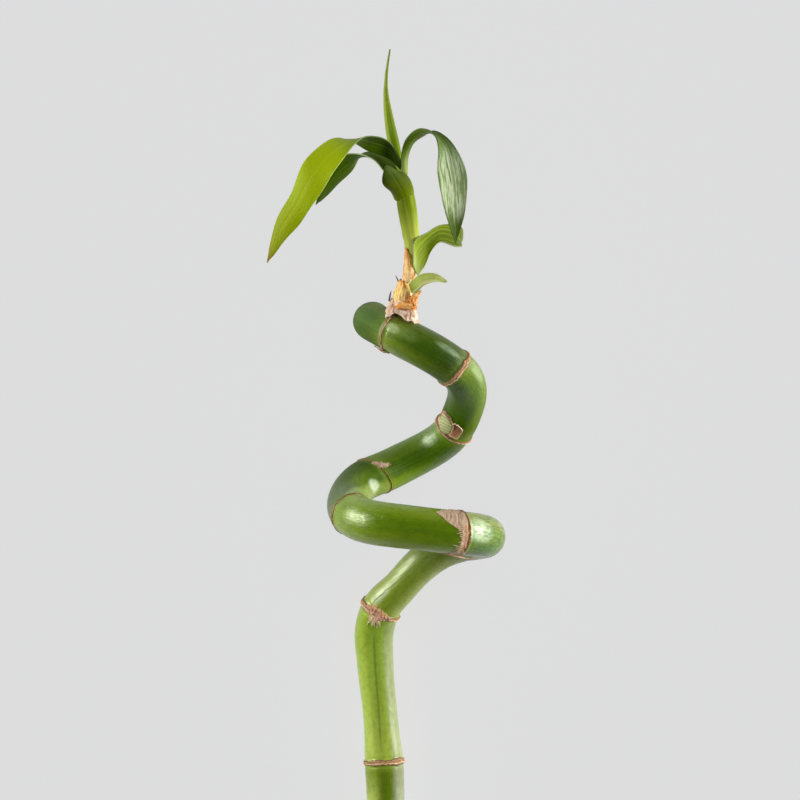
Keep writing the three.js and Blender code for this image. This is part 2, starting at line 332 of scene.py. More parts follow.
class NodeDesk:
    """A short way to place shader nodes in one tree and to join them."""

    columns = 12
    spacing = (220, -260)

    def __init__(self, tree: bpy.types.NodeTree) -> None:
        """Keeps the tree that the nodes go into."""
        self.tree = tree

    def join(self, value: object, socket: bpy.types.NodeSocket) -> None:
        """Gives an input a wire, or a value that is the same all over.

        Args:
            value: The wire or the value.
            socket: The input.
        """
        if isinstance(value, Wire):
            self.tree.links.new(value.socket, socket)
        else:
            socket.default_value = value

    def add(self, kind: str, inputs: dict | None = None, **settings: object) -> bpy.types.Node:
        """Places one node.

        Args:
            kind: The node's Blender type.
            inputs: A number, a colour or a wire for each named input.
            settings: The node's own settings.

        Returns:
            The node.
        """
        node = self.tree.nodes.new(kind)
        line, column = divmod(len(self.tree.nodes), self.columns)
        node.location = (self.spacing[0] * column, self.spacing[1] * line)
        for name, value in settings.items():
            setattr(node, name, value)
        for name, value in (inputs or {}).items():
            self.join(value, node.inputs[name])
        return node

    def wire(self, kind: str, output: str | int, inputs: dict | None = None, **settings: object) -> Wire:
        """Places one node and gives one of its outputs.

        Args:
            kind: The node's Blender type.
            output: The output's name or number.
            inputs: A number, a colour or a wire for each named input.
            settings: The node's own settings.

        Returns:
            The output.
        """
        return Wire(self, self.add(kind, inputs, **settings).outputs[output])

    def maths(self, operation: str, first: object, second: object = 0.0, clamp: bool = False) -> Wire:
        """Places a Math node.

        Args:
            operation: What it works out.
            first: Its first number or wire.
            second: Its second number or wire.
            clamp: Whether the result is held between 0 and 1.

        Returns:
            Its output.
        """
        return self.wire("ShaderNodeMath", 0, {0: first, 1: second}, operation=operation, use_clamp=clamp)

    def noise(
        self, place: Wire, scale: float, detail: float = 2.0, roughness: float = 0.5, distortion: float = 0.0
    ) -> Wire:
        """Places a Noise texture.

        Args:
            place: Where it is read.
            scale: How fine it is.
            detail: How many finer layers it has.
            roughness: How strong they are.
            distortion: How far it is swirled.

        Returns:
            Its value, about 0.5 on average.
        """
        inputs = {"Vector": place, "Scale": scale, "Detail": detail, "Roughness": roughness}
        return self.wire("ShaderNodeTexNoise", "Fac", {**inputs, "Distortion": distortion})

    def mix(self, factor: Wire, first: object, second: object) -> Wire:
        """Places a colour mix.

        Args:
            factor: How much of the second colour shows.
            first: The first colour or wire.
            second: The second colour or wire.

        Returns:
            The mixed colour.
        """
        node = self.add("ShaderNodeMix", data_type="RGBA", clamp_factor=True)
        used = {socket.name: socket for socket in node.inputs if socket.enabled}
        for name, value in (("Factor", factor), ("A", first), ("B", second)):
            self.join(value, used[name])
        return Wire(self, next(socket for socket in node.outputs if socket.enabled))

    def ramp(self, factor: Wire, ramp_stops: Stops) -> Wire:
        """Places a colour ramp.

        Args:
            factor: What the ramp is read by, from 0 to 1.
            ramp_stops: Its places and colours, in rising order.

        Returns:
            The colour.
        """
        node = self.add("ShaderNodeValToRGB", {"Fac": factor})
        elements = node.color_ramp.elements
        while len(elements) < len(ramp_stops):
            elements.new(0.5)
        for element, (place, colour) in zip(elements, ramp_stops):
            element.position = place
            element.color = colour
        return Wire(self, node.outputs["Color"])

    def attribute(self, name: str) -> Wire:
        """Reads a vector that the mesh holds for each of its vertices."""
        return self.wire("ShaderNodeAttribute", "Vector", attribute_name=name, attribute_type="GEOMETRY")

    def parts(self, vector: Wire) -> list[Wire]:
        """Splits a vector into its three numbers."""
        node = self.add("ShaderNodeSeparateXYZ", {"Vector": vector})
        return [Wire(self, socket) for socket in node.outputs]

    def vector(self, x: Wire, y: Wire, z: Wire) -> Wire:
        """Joins three numbers to a vector."""
        return self.wire("ShaderNodeCombineXYZ", 0, {"X": x, "Y": y, "Z": z})

    def effect(self, group: bpy.types.NodeTree, **inputs: object) -> list[Wire]:
        """Places a shared effect.

        Args:
            group: The effect.
            inputs: A number or a wire for each of its inputs.

        Returns:
            Its outputs.
        """
        node = self.add("ShaderNodeGroup", inputs, node_tree=group)
        return [Wire(self, socket) for socket in node.outputs]


class SharedEffects:
    """The shader node groups that several finishes use, each built once."""

    def __init__(self) -> None:
        """Builds the groups."""
        self.fibres = self._fibres()
        self.specks = self._specks()
        self.edges = self._edges()

    @staticmethod
    def _group(name: str, inputs: dict[str, float | None], outputs: tuple[str, ...]) -> tuple:
        """Starts a node group.

        Args:
            name: The group's name.
            inputs: Each input's usual number, or None for a vector.
            outputs: The names of the numbers that it puts out.

        Returns:
            The desk for its nodes, its inputs as wires and its output node's sockets.
        """
        group = bpy.data.node_groups.new(name, "ShaderNodeTree")
        for label, usual in inputs.items():
            kind = "NodeSocketVector" if usual is None else "NodeSocketFloat"
            socket = group.interface.new_socket(name=label, in_out="INPUT", socket_type=kind)
            if usual is not None:
                socket.default_value = usual
        for label in outputs:
            group.interface.new_socket(name=label, in_out="OUTPUT", socket_type="NodeSocketFloat")
        desk = NodeDesk(group)
        source = desk.add("NodeGroupInput").outputs
        return desk, [Wire(desk, source[label]) for label in inputs], desk.add("NodeGroupOutput").inputs

    def _fibres(self) -> bpy.types.NodeTree:
        """Makes fibres that run along a piece: fine lines, and broad soft streaks between them.

        Returns:
            The group.
        """
        usual = {"Vector": None, "Fineness": 3.0, "Breadth": 0.5, "Length": 0.05}
        desk, (place, fineness, breadth, length), target = self._group("fibres", usual, ("Lines", "Streaks"))
        x, y, z = desk.parts(place)
        for label, size in (("Lines", fineness), ("Streaks", breadth)):
            stretched = desk.vector(x * size, y * size, z * length)
            pattern = desk.noise(stretched, 1.0, detail=3.0, roughness=0.6)
            desk.join(pattern.rise(0.3, 0.7), target[label])
        return desk.tree

    def _specks(self) -> bpy.types.NodeTree:
        """Makes small round specks of about one size.

        Returns:
            The group.
        """
        usual = {"Vector": None, "Scale": 0.6, "Size": 0.12}
        desk, (place, scale, size), target = self._group("specks", usual, ("Mask",))
        cells = desk.add("ShaderNodeTexVoronoi", {"Vector": place, "Scale": scale}).outputs
        number = desk.wire("ShaderNodeSeparateColor", 0, {"Color": Wire(desk, cells["Color"])})
        spot = Wire(desk, cells["Distance"]).fall(0.0, size)
        desk.join(spot * number.rise(0.45, 0.6), target["Mask"])
        return desk.tree

    def _edges(self) -> bpy.types.NodeTree:
        """Masks the band near a signed distance of nought, and the thin lines along its two edges.

        Returns:
            The group.
        """
        usual = {"Distance": 0.0, "Half": 1.0, "Line": 0.25}
        desk, (distance, half, line), target = self._group("edges", usual, ("Inside", "Rim"))
        inside = abs(distance).fall(half, half + line)
        core = abs(distance).fall(half - line, half)
        desk.join(inside, target["Inside"])
        desk.join(desk.maths("SUBTRACT", inside, core, clamp=True), target["Rim"])
        return desk.tree


class Coat:
    """A material in the making: its Principled shader and the colour that is laid up for it."""

    def __init__(self, name: str) -> None:
        """Makes the material.

        Args:
            name: Its name.
        """
        self.material = bpy.data.materials.new(name)
        self.material.use_nodes = True
        tree = self.material.node_tree
        self.desk = NodeDesk(tree)
        self.shader = next(node for node in tree.nodes if node.type == "BSDF_PRINCIPLED")
        self.colour: Wire | Colour | None = None

    def lay(self, colour: object, mask: Wire) -> None:
        """Lays a colour over the one so far, where a mask says so."""
        self.colour = self.desk.mix(mask, self.colour, colour)

    def sheet(self) -> tuple[Wire, ...]:
        """Reads what a sheet's vertices carry: millimetres, and the parts across, along and to the edge."""
        return self.desk.attribute("sheet"), *self.desk.parts(self.desk.attribute("blade"))

    def finish(self, height: Wire, distance: float, strength: float, inputs: dict) -> bpy.types.Material:
        """Gives the shader its colour, its relief and its other values.

        Args:
            height: The relief's height.
            distance: What a height of 1 measures, in millimetres.
            strength: How much of the relief shows.
            inputs: A number, a colour or a wire for each other input.

        Returns:
            The material.
        """
        relief = {"Height": height, "Distance": distance * MM, "Strength": strength}
        normal = self.desk.wire("ShaderNodeBump", "Normal", relief)
        for name, value in {"Base Color": self.colour, "Normal": normal, **inputs}.items():
            self.desk.join(value, self.shader.inputs[name])
        return self.material


@dataclass(frozen=True)
class Internode:
    """The skin between two rings: where it ends, its colours from low down to high up, and its surface.

    The left and the right flank, as the cane grows, get colours of their own, which are painted light and
    shade: paler where the lamps light the sides and their highlights fall, darker where shade falls.
    """

    end: float
    middle: tuple[Colour, ...]
    left: tuple[Colour, ...]
    right: tuple[Colour, ...]
    wrinkled: tuple[float, float]
    dull: tuple[float, float]

    def surface(self) -> tuple[Colour, Colour]:
        """Gives how wrinkled and how dull the skin is, as the red and the green of two colours."""
        low, high = zip(self.wrinkled, self.dull)
        return ((*low, 0.0, 1.0), (*high, 0.0, 1.0))


@dataclass(frozen=True)
class PaintedHighlight:
    """A painted highlight on the skin: a pale patch at its place, with its reach along the cane and round it,
    and its strength.
    """

    at: float
    turn: float
    along: float
    around: float
    amount: float
    colour: Colour = shade(214, 230, 200)


@dataclass(frozen=True)
class CaneFinish:
    """The cane's smooth green skin, with fibres along it, painted light and shade on its flanks, furrow and
    creases, painted highlights and a tan band at each ring.
    """

    length: float
    internodes: tuple[Internode, ...]
    waxed_from: float
    furrow: tuple[float, float]
    pale: Colour = shade(168, 190, 60)
    deep: Colour = shade(34, 62, 2)
    band: Colour = shade(160, 108, 70)
    band_light: Colour = shade(200, 154, 108)
    band_edge: Colour = shade(64, 34, 14)
    speck: Colour = shade(30, 50, 6)
    wax: Colour = (0.94, 1.0, 0.76, 1.0)
    gloss: float = 0.16
    specular: float = 0.8
    subsurface: tuple[float, float, float] = (0.6 * MM, 1.0 * MM, 0.25 * MM)
    middle_shares: tuple[float, ...] = (0.04, 0.5, 0.95)
    flank_shares: tuple[float, ...] = (0.06, 0.65, 0.94)
    surface_shares: tuple[float, ...] = (0.15, 0.85)
    # Masks for the flanks' painted light and shade.
    left_lighting_mask: tuple[float, float] = (0.06, 0.6)
    right_lighting_mask: tuple[float, float] = (0.26, 0.7)
    # Painted highlights: pale patches on the skin where the lamps' highlights fall.
    painted_highlights: tuple[PaintedHighlight, ...] = (
        PaintedHighlight(120.5, 24, 5.0, 0.3, 0.3),
        PaintedHighlight(183.0, -13, 5.6, 0.68, 0.72, shade(210, 228, 190)),
        PaintedHighlight(218.5, -4, 5.5, 0.5, 0.25, shade(214, 228, 150)),
        PaintedHighlight(250.5, -34, 4.4, 0.4, 0.75),
        PaintedHighlight(287.5, 26, 6.0, 0.4, 0.2),
        PaintedHighlight(326.0, -42, 6.0, 0.3, 0.35, shade(190, 212, 160)),
        PaintedHighlight(337.5, -34, 5.0, 0.2, 0.42, shade(160, 190, 146)),
        PaintedHighlight(353.2, -10, 2.6, 0.3, 0.75, shade(190, 206, 150)),
        PaintedHighlight(350.0, -14, 5.0, 0.44, 0.26, shade(160, 184, 100)),
    )
    streak_amount: float = 0.11
    mottle_amount: float = 0.2
    line_amount: float = 0.05
    beside_amount: float = 0.14
    speck_amount: float = 0.45
    seam_start: float = 0.12
    seam_drift: float = -0.0038
    seam_fade: float = 8.0
    furrow_shade_amount: float = 0.34
    crease_shade_amount: float = 0.6
    matt_amount: float = 0.4
    wax_fade: float = 1.5
    line_height: float = 0.35
    dent_height: float = 2.6
    crease_depth: float = 1.8

    def _along(self, pick: Callable[[Internode], tuple[Colour, ...]], shares: tuple[float, ...]) -> Stops:
        """Lists a ramp's stops along the cane.

        Args:
            pick: Which of an internode's colours are wanted.
            shares: How far along the internode each of them lies.

        Returns:
            The stops.
        """
        made = []
        start = 0.0
        for part in self.internodes:
            for share, colour in zip(shares, pick(part)):
                made.append(((start + share * (part.end - start)) / self.length, colour))
            start = part.end
        return tuple(made)

    def _skin(self, coat: Coat, straight: Wire, gap: Wire, lines: Wire, streaks: Wire) -> None:
        """Lays up the green between the rings.

        Args:
            coat: The material in the making.
            straight: The place on the cane as if it were straight.
            gap: The distance to the nearest ring.
            lines: The fibres' fine lines.
            streaks: The fibres' broad streaks.
        """
        desk = coat.desk
        distance = desk.parts(straight)[2]
        share = distance / self.length
        leftward = desk.parts(desk.attribute("facing"))[0]
        coat.colour = desk.ramp(share, self._along(lambda part: part.middle, self.middle_shares))
        # The flank colours are painted light and shade on the cane's sides.
        left = desk.ramp(share, self._along(lambda part: part.left, self.flank_shares))
        right = desk.ramp(share, self._along(lambda part: part.right, self.flank_shares))
        coat.lay(left, leftward.rise(*self.left_lighting_mask))
        coat.lay(right, (leftward * -1.0).rise(*self.right_lighting_mask))
        # Painted shade down the furrow.
        coat.lay(self.deep, self._furrow_shade(distance, leftward))
        coat.lay(self.deep, streaks * self.streak_amount)
        patchy = desk.noise(straight, 0.5, detail=6.0, roughness=0.7).rise(0.42, 0.66)
        coat.lay(self.deep, patchy * self.mottle_amount)
        coat.lay(self.pale, lines.rise(0.5, 1.0) * self.line_amount)
        coat.lay(self.pale, gap.fall(0.5, 5.0) * self.beside_amount)
        # Lays the painted highlights.
        for highlight in self.painted_highlights:
            coat.lay(highlight.colour, self._painted_highlight(highlight, distance, leftward, patchy))

    @staticmethod
    def _painted_highlight(highlight: PaintedHighlight, distance: Wire, leftward: Wire, patchy: Wire) -> Wire:
        """Masks one painted highlight, strongest in its middle and thinner where the skin is mottled.

        Args:
            highlight: The patch.
            distance: The distance along the cane.
            leftward: The sine of the angle to the left of the upper side.
            patchy: The skin's mottling.

        Returns:
            The mask.
        """
        along = (distance - highlight.at) / highlight.along
        around = (leftward - math.sin(math.radians(highlight.turn))) / highlight.around
        core = (along.squared() + around.squared()).fall(0.0, 1.0)
        return core * (1.0 - patchy * 0.4) * highlight.amount

    def _furrow_shade(self, distance: Wire, leftward: Wire) -> Wire:
        """Masks the painted shade down the furrow of one internode: a thin dark line.

        Args:
            distance: The distance along the cane.
            leftward: The sine of the angle to the left of the upper side.

        Returns:
            The mask.
        """
        start, end = self.furrow
        off = leftward - self.seam_start - (distance - start) * self.seam_drift
        line = abs(off).fall(0.02, 0.1) * self.furrow_shade_amount
        faded_in = distance.rise(start, start + self.seam_fade)
        return line * (faded_in * distance.fall(end - self.seam_fade, end))

    @staticmethod
    def _creases(desk: NodeDesk, straight: Wire, wrinkled: Wire) -> Wire:
        """Masks the fine shrink wrinkles that run wavily along the skin where it has them.

        Args:
            desk: Where the nodes go.
            straight: The place on the cane as if it were straight.
            wrinkled: How wrinkled the skin is.

        Returns:
            The mask.
        """
        x, y, z = desk.parts(straight)
        waves = desk.noise(desk.vector(x, y, z * 0.35), 0.75, detail=3.0, roughness=0.55, distortion=0.8)
        return abs(waves - 0.5).fall(0.0, 0.06) * wrinkled

    def _band(self, desk: NodeDesk, straight: Wire, rim: Wire) -> Wire:
        """Builds the tan of the rings.

        Args:
            desk: Where the nodes go.
            straight: The place on the cane as if it were straight.
            rim: The mask of the rings' edges.

        Returns:
            The colour.
        """
        light = desk.noise(straight, 3.5, detail=3.0).rise(0.35, 0.65)
        return desk.mix(rim, desk.mix(light, self.band, self.band_light), self.band_edge)

    def material(self, effects: SharedEffects) -> bpy.types.Material:
        """Builds the material.

        Args:
            effects: The shared node groups.

        Returns:
            The material.
        """
        coat = Coat("cane_skin")
        desk = coat.desk
        straight = desk.attribute("straight")
        distance = desk.parts(straight)[2]
        ring, gap, wear = desk.parts(desk.attribute("ring"))
        lines, streaks = desk.effect(effects.fibres, Vector=straight, Fineness=2.4, Breadth=0.42, Length=0.05)
        specks = desk.effect(effects.specks, Vector=straight, Scale=0.6, Size=0.12)[0]
        self._skin(coat, straight, gap, lines, streaks)
        coat.lay(self.speck, specks * self.speck_amount)
        shift = (desk.noise(straight, 0.9, detail=4.0, roughness=0.7) - 0.5) * 1.6
        inside, rim = desk.effect(effects.edges, Distance=ring + shift, Half=0.85, Line=0.35)
        inside = inside * wear
        surface = desk.ramp(distance / self.length, self._along(Internode.surface, self.surface_shares))
        wrinkled, dull, _ = desk.parts(surface)
        creases = self._creases(desk, straight, wrinkled)
        # Painted shade in the wrinkles' creases, over their relief.
        coat.lay(self.deep, creases * self.crease_shade_amount)
        coat.lay(self._band(desk, straight, rim), inside)
        waxed = distance.rise(self.waxed_from, self.waxed_from + self.wax_fade)
        matt = (dull + waxed + inside) * self.matt_amount
        faded = desk.maths("MAXIMUM", dull, waxed)
        dents = desk.noise(straight, 0.35) * self.dent_height
        height = lines * self.line_height + dents - creases * self.crease_depth
        inputs = {
            "Roughness": streaks * 0.04 + self.gloss + matt,
            "Specular IOR Level": (1.0 - faded * 0.95) * self.specular,
            "Specular Tint": self.wax,
            "Subsurface Weight": 0.05,
            "Subsurface Radius": self.subsurface,
        }
        return coat.finish(height, 0.06, 1.0, inputs)


@dataclass(frozen=True)
class CutFinish:
    """A cut end of the cane: a sealed face with faint rings and pores in it."""

    name: str
    face: Colour
    rings: Colour
    pore_scale: float = 1.6
    ring_rate: float = 5.0
    ring_amount: float = 0.4
    pore_amount: float = 0.5

    def material(self) -> bpy.types.Material:
        """Builds the material.

        Returns:
            The material.
        """
        coat = Coat(self.name)
        desk = coat.desk
        place = desk.attribute("straight")
        x, y, _ = desk.parts(place)
        out = desk.maths("SQRT", x.squared() + y.squared())
        pores = desk.wire("ShaderNodeTexVoronoi", "Distance", {"Vector": place, "Scale": self.pore_scale})
        coat.colour = self.face
        coat.lay(self.rings, desk.maths("SINE", out * self.ring_rate).rise(0.2, 1.0) * self.ring_amount)
        coat.lay(self.rings, pores.fall(0.05, 0.3) * self.pore_amount)
        return coat.finish(pores, 0.12, 0.5, {"Roughness": 0.6})


@dataclass(frozen=True)
class TissueFinish:
    """Dry tissue: torn sheath remains, the leaf scar, the collars at the rings, the bud and its husk."""

    kind: Tissue
    across_band: Stops
    light: Colour
    line: Colour
    rim: Colour
    ripples: float = 0.0
    ripple_bend: float = 0.0
    ripple_amount: float = 0.55
    ripple_height: float = 2.6
    rim_from: float = 0.8
    rim_amount: float = 0.6
    roughness: float = 0.7
    line_amount: float = 0.5
    light_amount: float = 0.3

    def material(self, effects: SharedEffects) -> bpy.types.Material:
        """Builds the material.

        Args:
            effects: The shared node groups.

        Returns:
            The material.
        """
        coat = Coat(f"tissue_{self.kind.value}")
        desk = coat.desk
        place, across, along, edge = coat.sheet()
        shift = (desk.noise(place, 1.1, detail=4.0, roughness=0.7) - 0.5) * 0.5
        coat.colour = desk.ramp(along + shift, self.across_band)
        lines, streaks = desk.effect(effects.fibres, Vector=place, Fineness=4.0, Breadth=1.6, Length=0.45)
        coat.lay(self.light, streaks * self.light_amount)
        coat.lay(self.line, lines.rise(0.55, 0.9) * self.line_amount)
        height = lines
        if self.ripples:
            bent = along + across * across * self.ripple_bend
            ripple = desk.maths("SINE", bent * (2 * math.pi * self.ripples)).rise(-0.4, 0.9)
            coat.lay(self.light, ripple * self.ripple_amount)
            height = lines + ripple * (self.ripple_height * self.ripple_amount)
        coat.lay(self.rim, edge.rise(self.rim_from, 1.0) * self.rim_amount)
        return coat.finish(height, 0.12, 0.7, {"Roughness": self.roughness})


@dataclass(frozen=True)
class HuskFinish:
    """A dry husk scale: papery, from pink and yellow to deep orange, with brown veins."""

    node: str
    name: str
    along: Stops
    stain: Colour
    pale: Colour = shade(238, 224, 204)
    vein: Colour = shade(112, 58, 28)
    stain_amount: float = 0.7
    pale_amount: float = 0.35
    vein_amount: float = 0.4
    scrap_amount: float = 0.6
    rim_amount: float = 0.55
    slot: Slot = Slot.HUSK_ORANGE
    subsurface: tuple[float, float, float] = (0.8 * MM, 0.5 * MM, 0.2 * MM)

    def material(self, effects: SharedEffects) -> bpy.types.Material:
        """Builds the material.

        Args:
            effects: The shared node groups.

        Returns:
            The material.
        """
        coat = Coat(self.name)
        desk = coat.desk
        place, _, along, edge = coat.sheet()
        coat.colour = desk.ramp(along, self.along)
        lines, streaks = desk.effect(effects.fibres, Vector=place, Fineness=2.4, Breadth=0.7, Length=0.16)
        blots = desk.noise(place, 0.42, detail=5.0, roughness=0.65)
        coat.lay(self.stain, blots.rise(0.42, 0.62) * self.stain_amount)
        coat.lay(self.pale, streaks.rise(0.5, 0.9) * self.pale_amount)
        coat.lay(self.vein, lines.rise(0.62, 0.95) * self.vein_amount)
        torn = desk.noise(place, 1.7, detail=3.0, roughness=0.8)
        scrap = torn.rise(0.6, 0.68)
        coat.lay(self.vein, scrap * self.scrap_amount)
        coat.lay(self.vein, (edge + torn * 0.12).rise(0.92, 1.04) * self.rim_amount)
        inputs = {"Roughness": 0.55, "Subsurface Weight": 0.1, "Subsurface Radius": self.subsurface}
        return coat.finish(lines + blots * 1.5 - scrap, 0.2, 0.8, inputs)


@dataclass(frozen=True)
class LeafFinish:
    """A leaf's skin: colours from base to tip, parallel veins, pale streaks and thin pale margins."""

    node: str
    name: str
    slot: Slot
    along: Stops
    streak: Colour
    streak_amount: float
    dark: Colour
    margin: Colour = shade(185, 200, 140)
    margin_width: float = 0.05
    margin_amount: float = 0.6
    streak_length: float = 0.03
    streak_from: float = 0.5
    streak_base: float = 0.0
    midrib: float = 0.2
    far_side: Colour | None = None
    far_amount: float = 0.75
    vein_dark: float = 0.2
    roughness: float = 0.42
    specular: float = 0.09
    wax: Colour = (0.94, 1.0, 0.6, 1.0)
    subsurface: tuple[float, float, float] = (0.5 * MM, 1.0 * MM, 0.15 * MM)

    def material(self, effects: SharedEffects) -> bpy.types.Material:
        """Builds the material.

        Args:
            effects: The shared node groups.

        Returns:
            The material.
        """
        coat = Coat(self.name)
        desk = coat.desk
        place, across, along, edge = coat.sheet()
        coat.colour = desk.ramp(along, self.along)
        if self.far_side is not None:
            coat.lay(self.far_side, across.rise(0.1, 0.9) * self.far_amount)
        length = self.streak_length
        lines, streaks = desk.effect(effects.fibres, Vector=place, Fineness=3.4, Breadth=1.1, Length=length)
        pale = streaks.rise(self.streak_from, self.streak_from + 0.45)
        if self.streak_base:
            pale = pale * along.rise(self.streak_base, self.streak_base + 0.15) * along.fall(0.8, 0.92)
        coat.lay(self.streak, pale * self.streak_amount)
        coat.lay(self.dark, lines.rise(0.5, 1.0) * self.vein_dark)
        rib = abs(across).fall(0.015, 0.07)
        coat.lay(self.streak, rib * self.midrib)
        coat.lay(self.margin, edge.rise(1.0 - self.margin_width, 1.0) * self.margin_amount)
        inputs = {
            "Roughness": self.roughness,
            "Specular IOR Level": self.specular,
            "Specular Tint": self.wax,
            "Subsurface Weight": 0.12,
            "Subsurface Radius": self.subsurface,
        }
        return coat.finish(lines - rib * 1.5, 0.06, 0.6, inputs)


class Shell:
    """A mesh in millimetres, whose vertices carry the vectors that its material reads."""

    def __init__(self, *vectors: str) -> None:
        """Starts an empty mesh.

        Args:
            vectors: The vectors' names, or none for a sheet's: the parts of it, and millimetres.
        """
        self.mesh = bmesh.new()
        kept = self.mesh.verts.layers.float_vector
        self.layers = [kept.new(name) for name in vectors or ("blade", "sheet")]

    def place(self, vert: bmesh.types.BMVert, point: Vector, *vectors: Row) -> None:
        """Moves a vertex and gives it its vectors.

        Args:
            vert: The vertex.
            point: Where it goes.
            vectors: A value for each of the vectors.
        """
        vert.co = point
        for layer, vector in zip(self.layers, vectors):
            vert[layer] = vector

    def grid(self, across: int, steps: int, bend: Callable[[float, float], tuple]) -> None:
        """Adds a bent grid.

        Args:
            across: How many faces it has across.
            steps: How many it has along.
            bend: Gives a vertex's point and vectors from its parts across, -1 to 1, and along, 0 to 1.
        """
        made = bmesh.ops.create_grid(self.mesh, x_segments=across, y_segments=steps, size=1)
        for vert in made["verts"]:
            self.place(vert, *bend(vert.co.x, (vert.co.y + 1) / 2))

    def tube(self, stations: list[Station], sides: int, bend: Callable[[Station, float], tuple]) -> None:
        """Adds a closed tube along some stations.

        Args:
            stations: Where its rings of vertices go.
            sides: How many vertices a ring has.
            bend: Gives a vertex's point and vectors from its station and its angle in radians.
        """
        bmesh.ops.create_cone(self.mesh, cap_ends=True, segments=sides, radius1=1, radius2=1, depth=1)
        upright = [e for e in self.mesh.edges if abs(e.verts[0].co.z - e.verts[1].co.z) > 0.5]
        bmesh.ops.subdivide_edges(self.mesh, edges=upright, cuts=len(stations) - 2, use_grid_fill=True)
        for vert in self.mesh.verts:
            station = stations[round((vert.co.z + 0.5) * (len(stations) - 1))]
            self.place(vert, *bend(station, math.atan2(vert.co.y, vert.co.x)))


def thread(rows: Sequence[Row], sides: int = 10, step: float = 0.25) -> Shell:
    """Makes a thin tube through some rows of a point and a radius.

    Args:
        rows: The rows.
        sides: How many sides it has.
        step: The length of its rows of faces.

    Returns:
        The tube.
    """
    path = Path(rows)

    def bend(station: Station, angle: float) -> tuple:
        """Gives one vertex of the tube.

        Args:
            station: The place along it.
            angle: The angle round it, in radians.

        Returns:
            Its point and its vectors.
        """
        point = station.centre + station.away(angle) * station.radius
        blade = (math.sin(angle), station.place / path.length, 0.0)
        return point, blade, (math.cos(angle), math.sin(angle), station.place)

    shell = Shell()
    shell.tube(path.stations(evenly(0, path.length, step)), sides, bend)
    return shell


class Workshop:
    """Turns a shell into a finished piece that rides on the cane's body."""

    def __init__(self) -> None:
        """Starts the list of pieces."""
        self.pieces: list[bpy.types.Object] = []

    def finish(
        self,
        name: str,
        shell: Shell,
        materials: Sequence[bpy.types.Material],
        slot: Slot = Slot.HUSK_PALE,
        replaces: tuple[str, ...] = (),
        thickness: float = 0.0,
    ) -> None:
        """Writes the mesh in metres, dresses it and ties it to the body.

        Args:
            name: The piece's name.
            shell: Its mesh, which is freed.
            materials: Its materials, in the order of its faces' indices.
            slot: The record's slot that its finish comes from; not used.
            replaces: The CAD nodes that it stands for.
            thickness: The thickness that a sheet gets, half to each side.
        """
        mesh = shell.mesh
        bmesh.ops.recalc_face_normals(mesh, faces=mesh.faces[:])
        bmesh.ops.scale(mesh, vec=(MM, MM, MM), verts=mesh.verts[:])
        for face in mesh.faces:
            face.smooth = True
        data = bpy.data.meshes.new(name)
        mesh.to_mesh(data)
        mesh.free()
        piece = bpy.data.objects.new(name, data)
        bpy.context.scene.collection.objects.link(piece)
        for material in materials:
            data.materials.append(material)
        if thickness > 0:
            wall = piece.modifiers.new("thickness", "SOLIDIFY")
            wall.thickness = thickness * MM
            wall.offset = 0.0
        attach(piece, BODY)
        if replaces:
            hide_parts(*replaces)
        self.pieces.append(piece)
        LOG.info("%s: %d faces", name, len(data.polygons))


@dataclass(frozen=True)
class Ring:
    """A node ring: its place, its lean and bow, and its band and collar of old sheath."""

    at: float
    half_width: float
    lean: float = 0.0
    toward: float = 0.0
    wear: float = 1.0
    rise: float = 0.2
    collar: float = 0.0
    bow: float = 0.0
    tissue: Tissue = Tissue.BAND


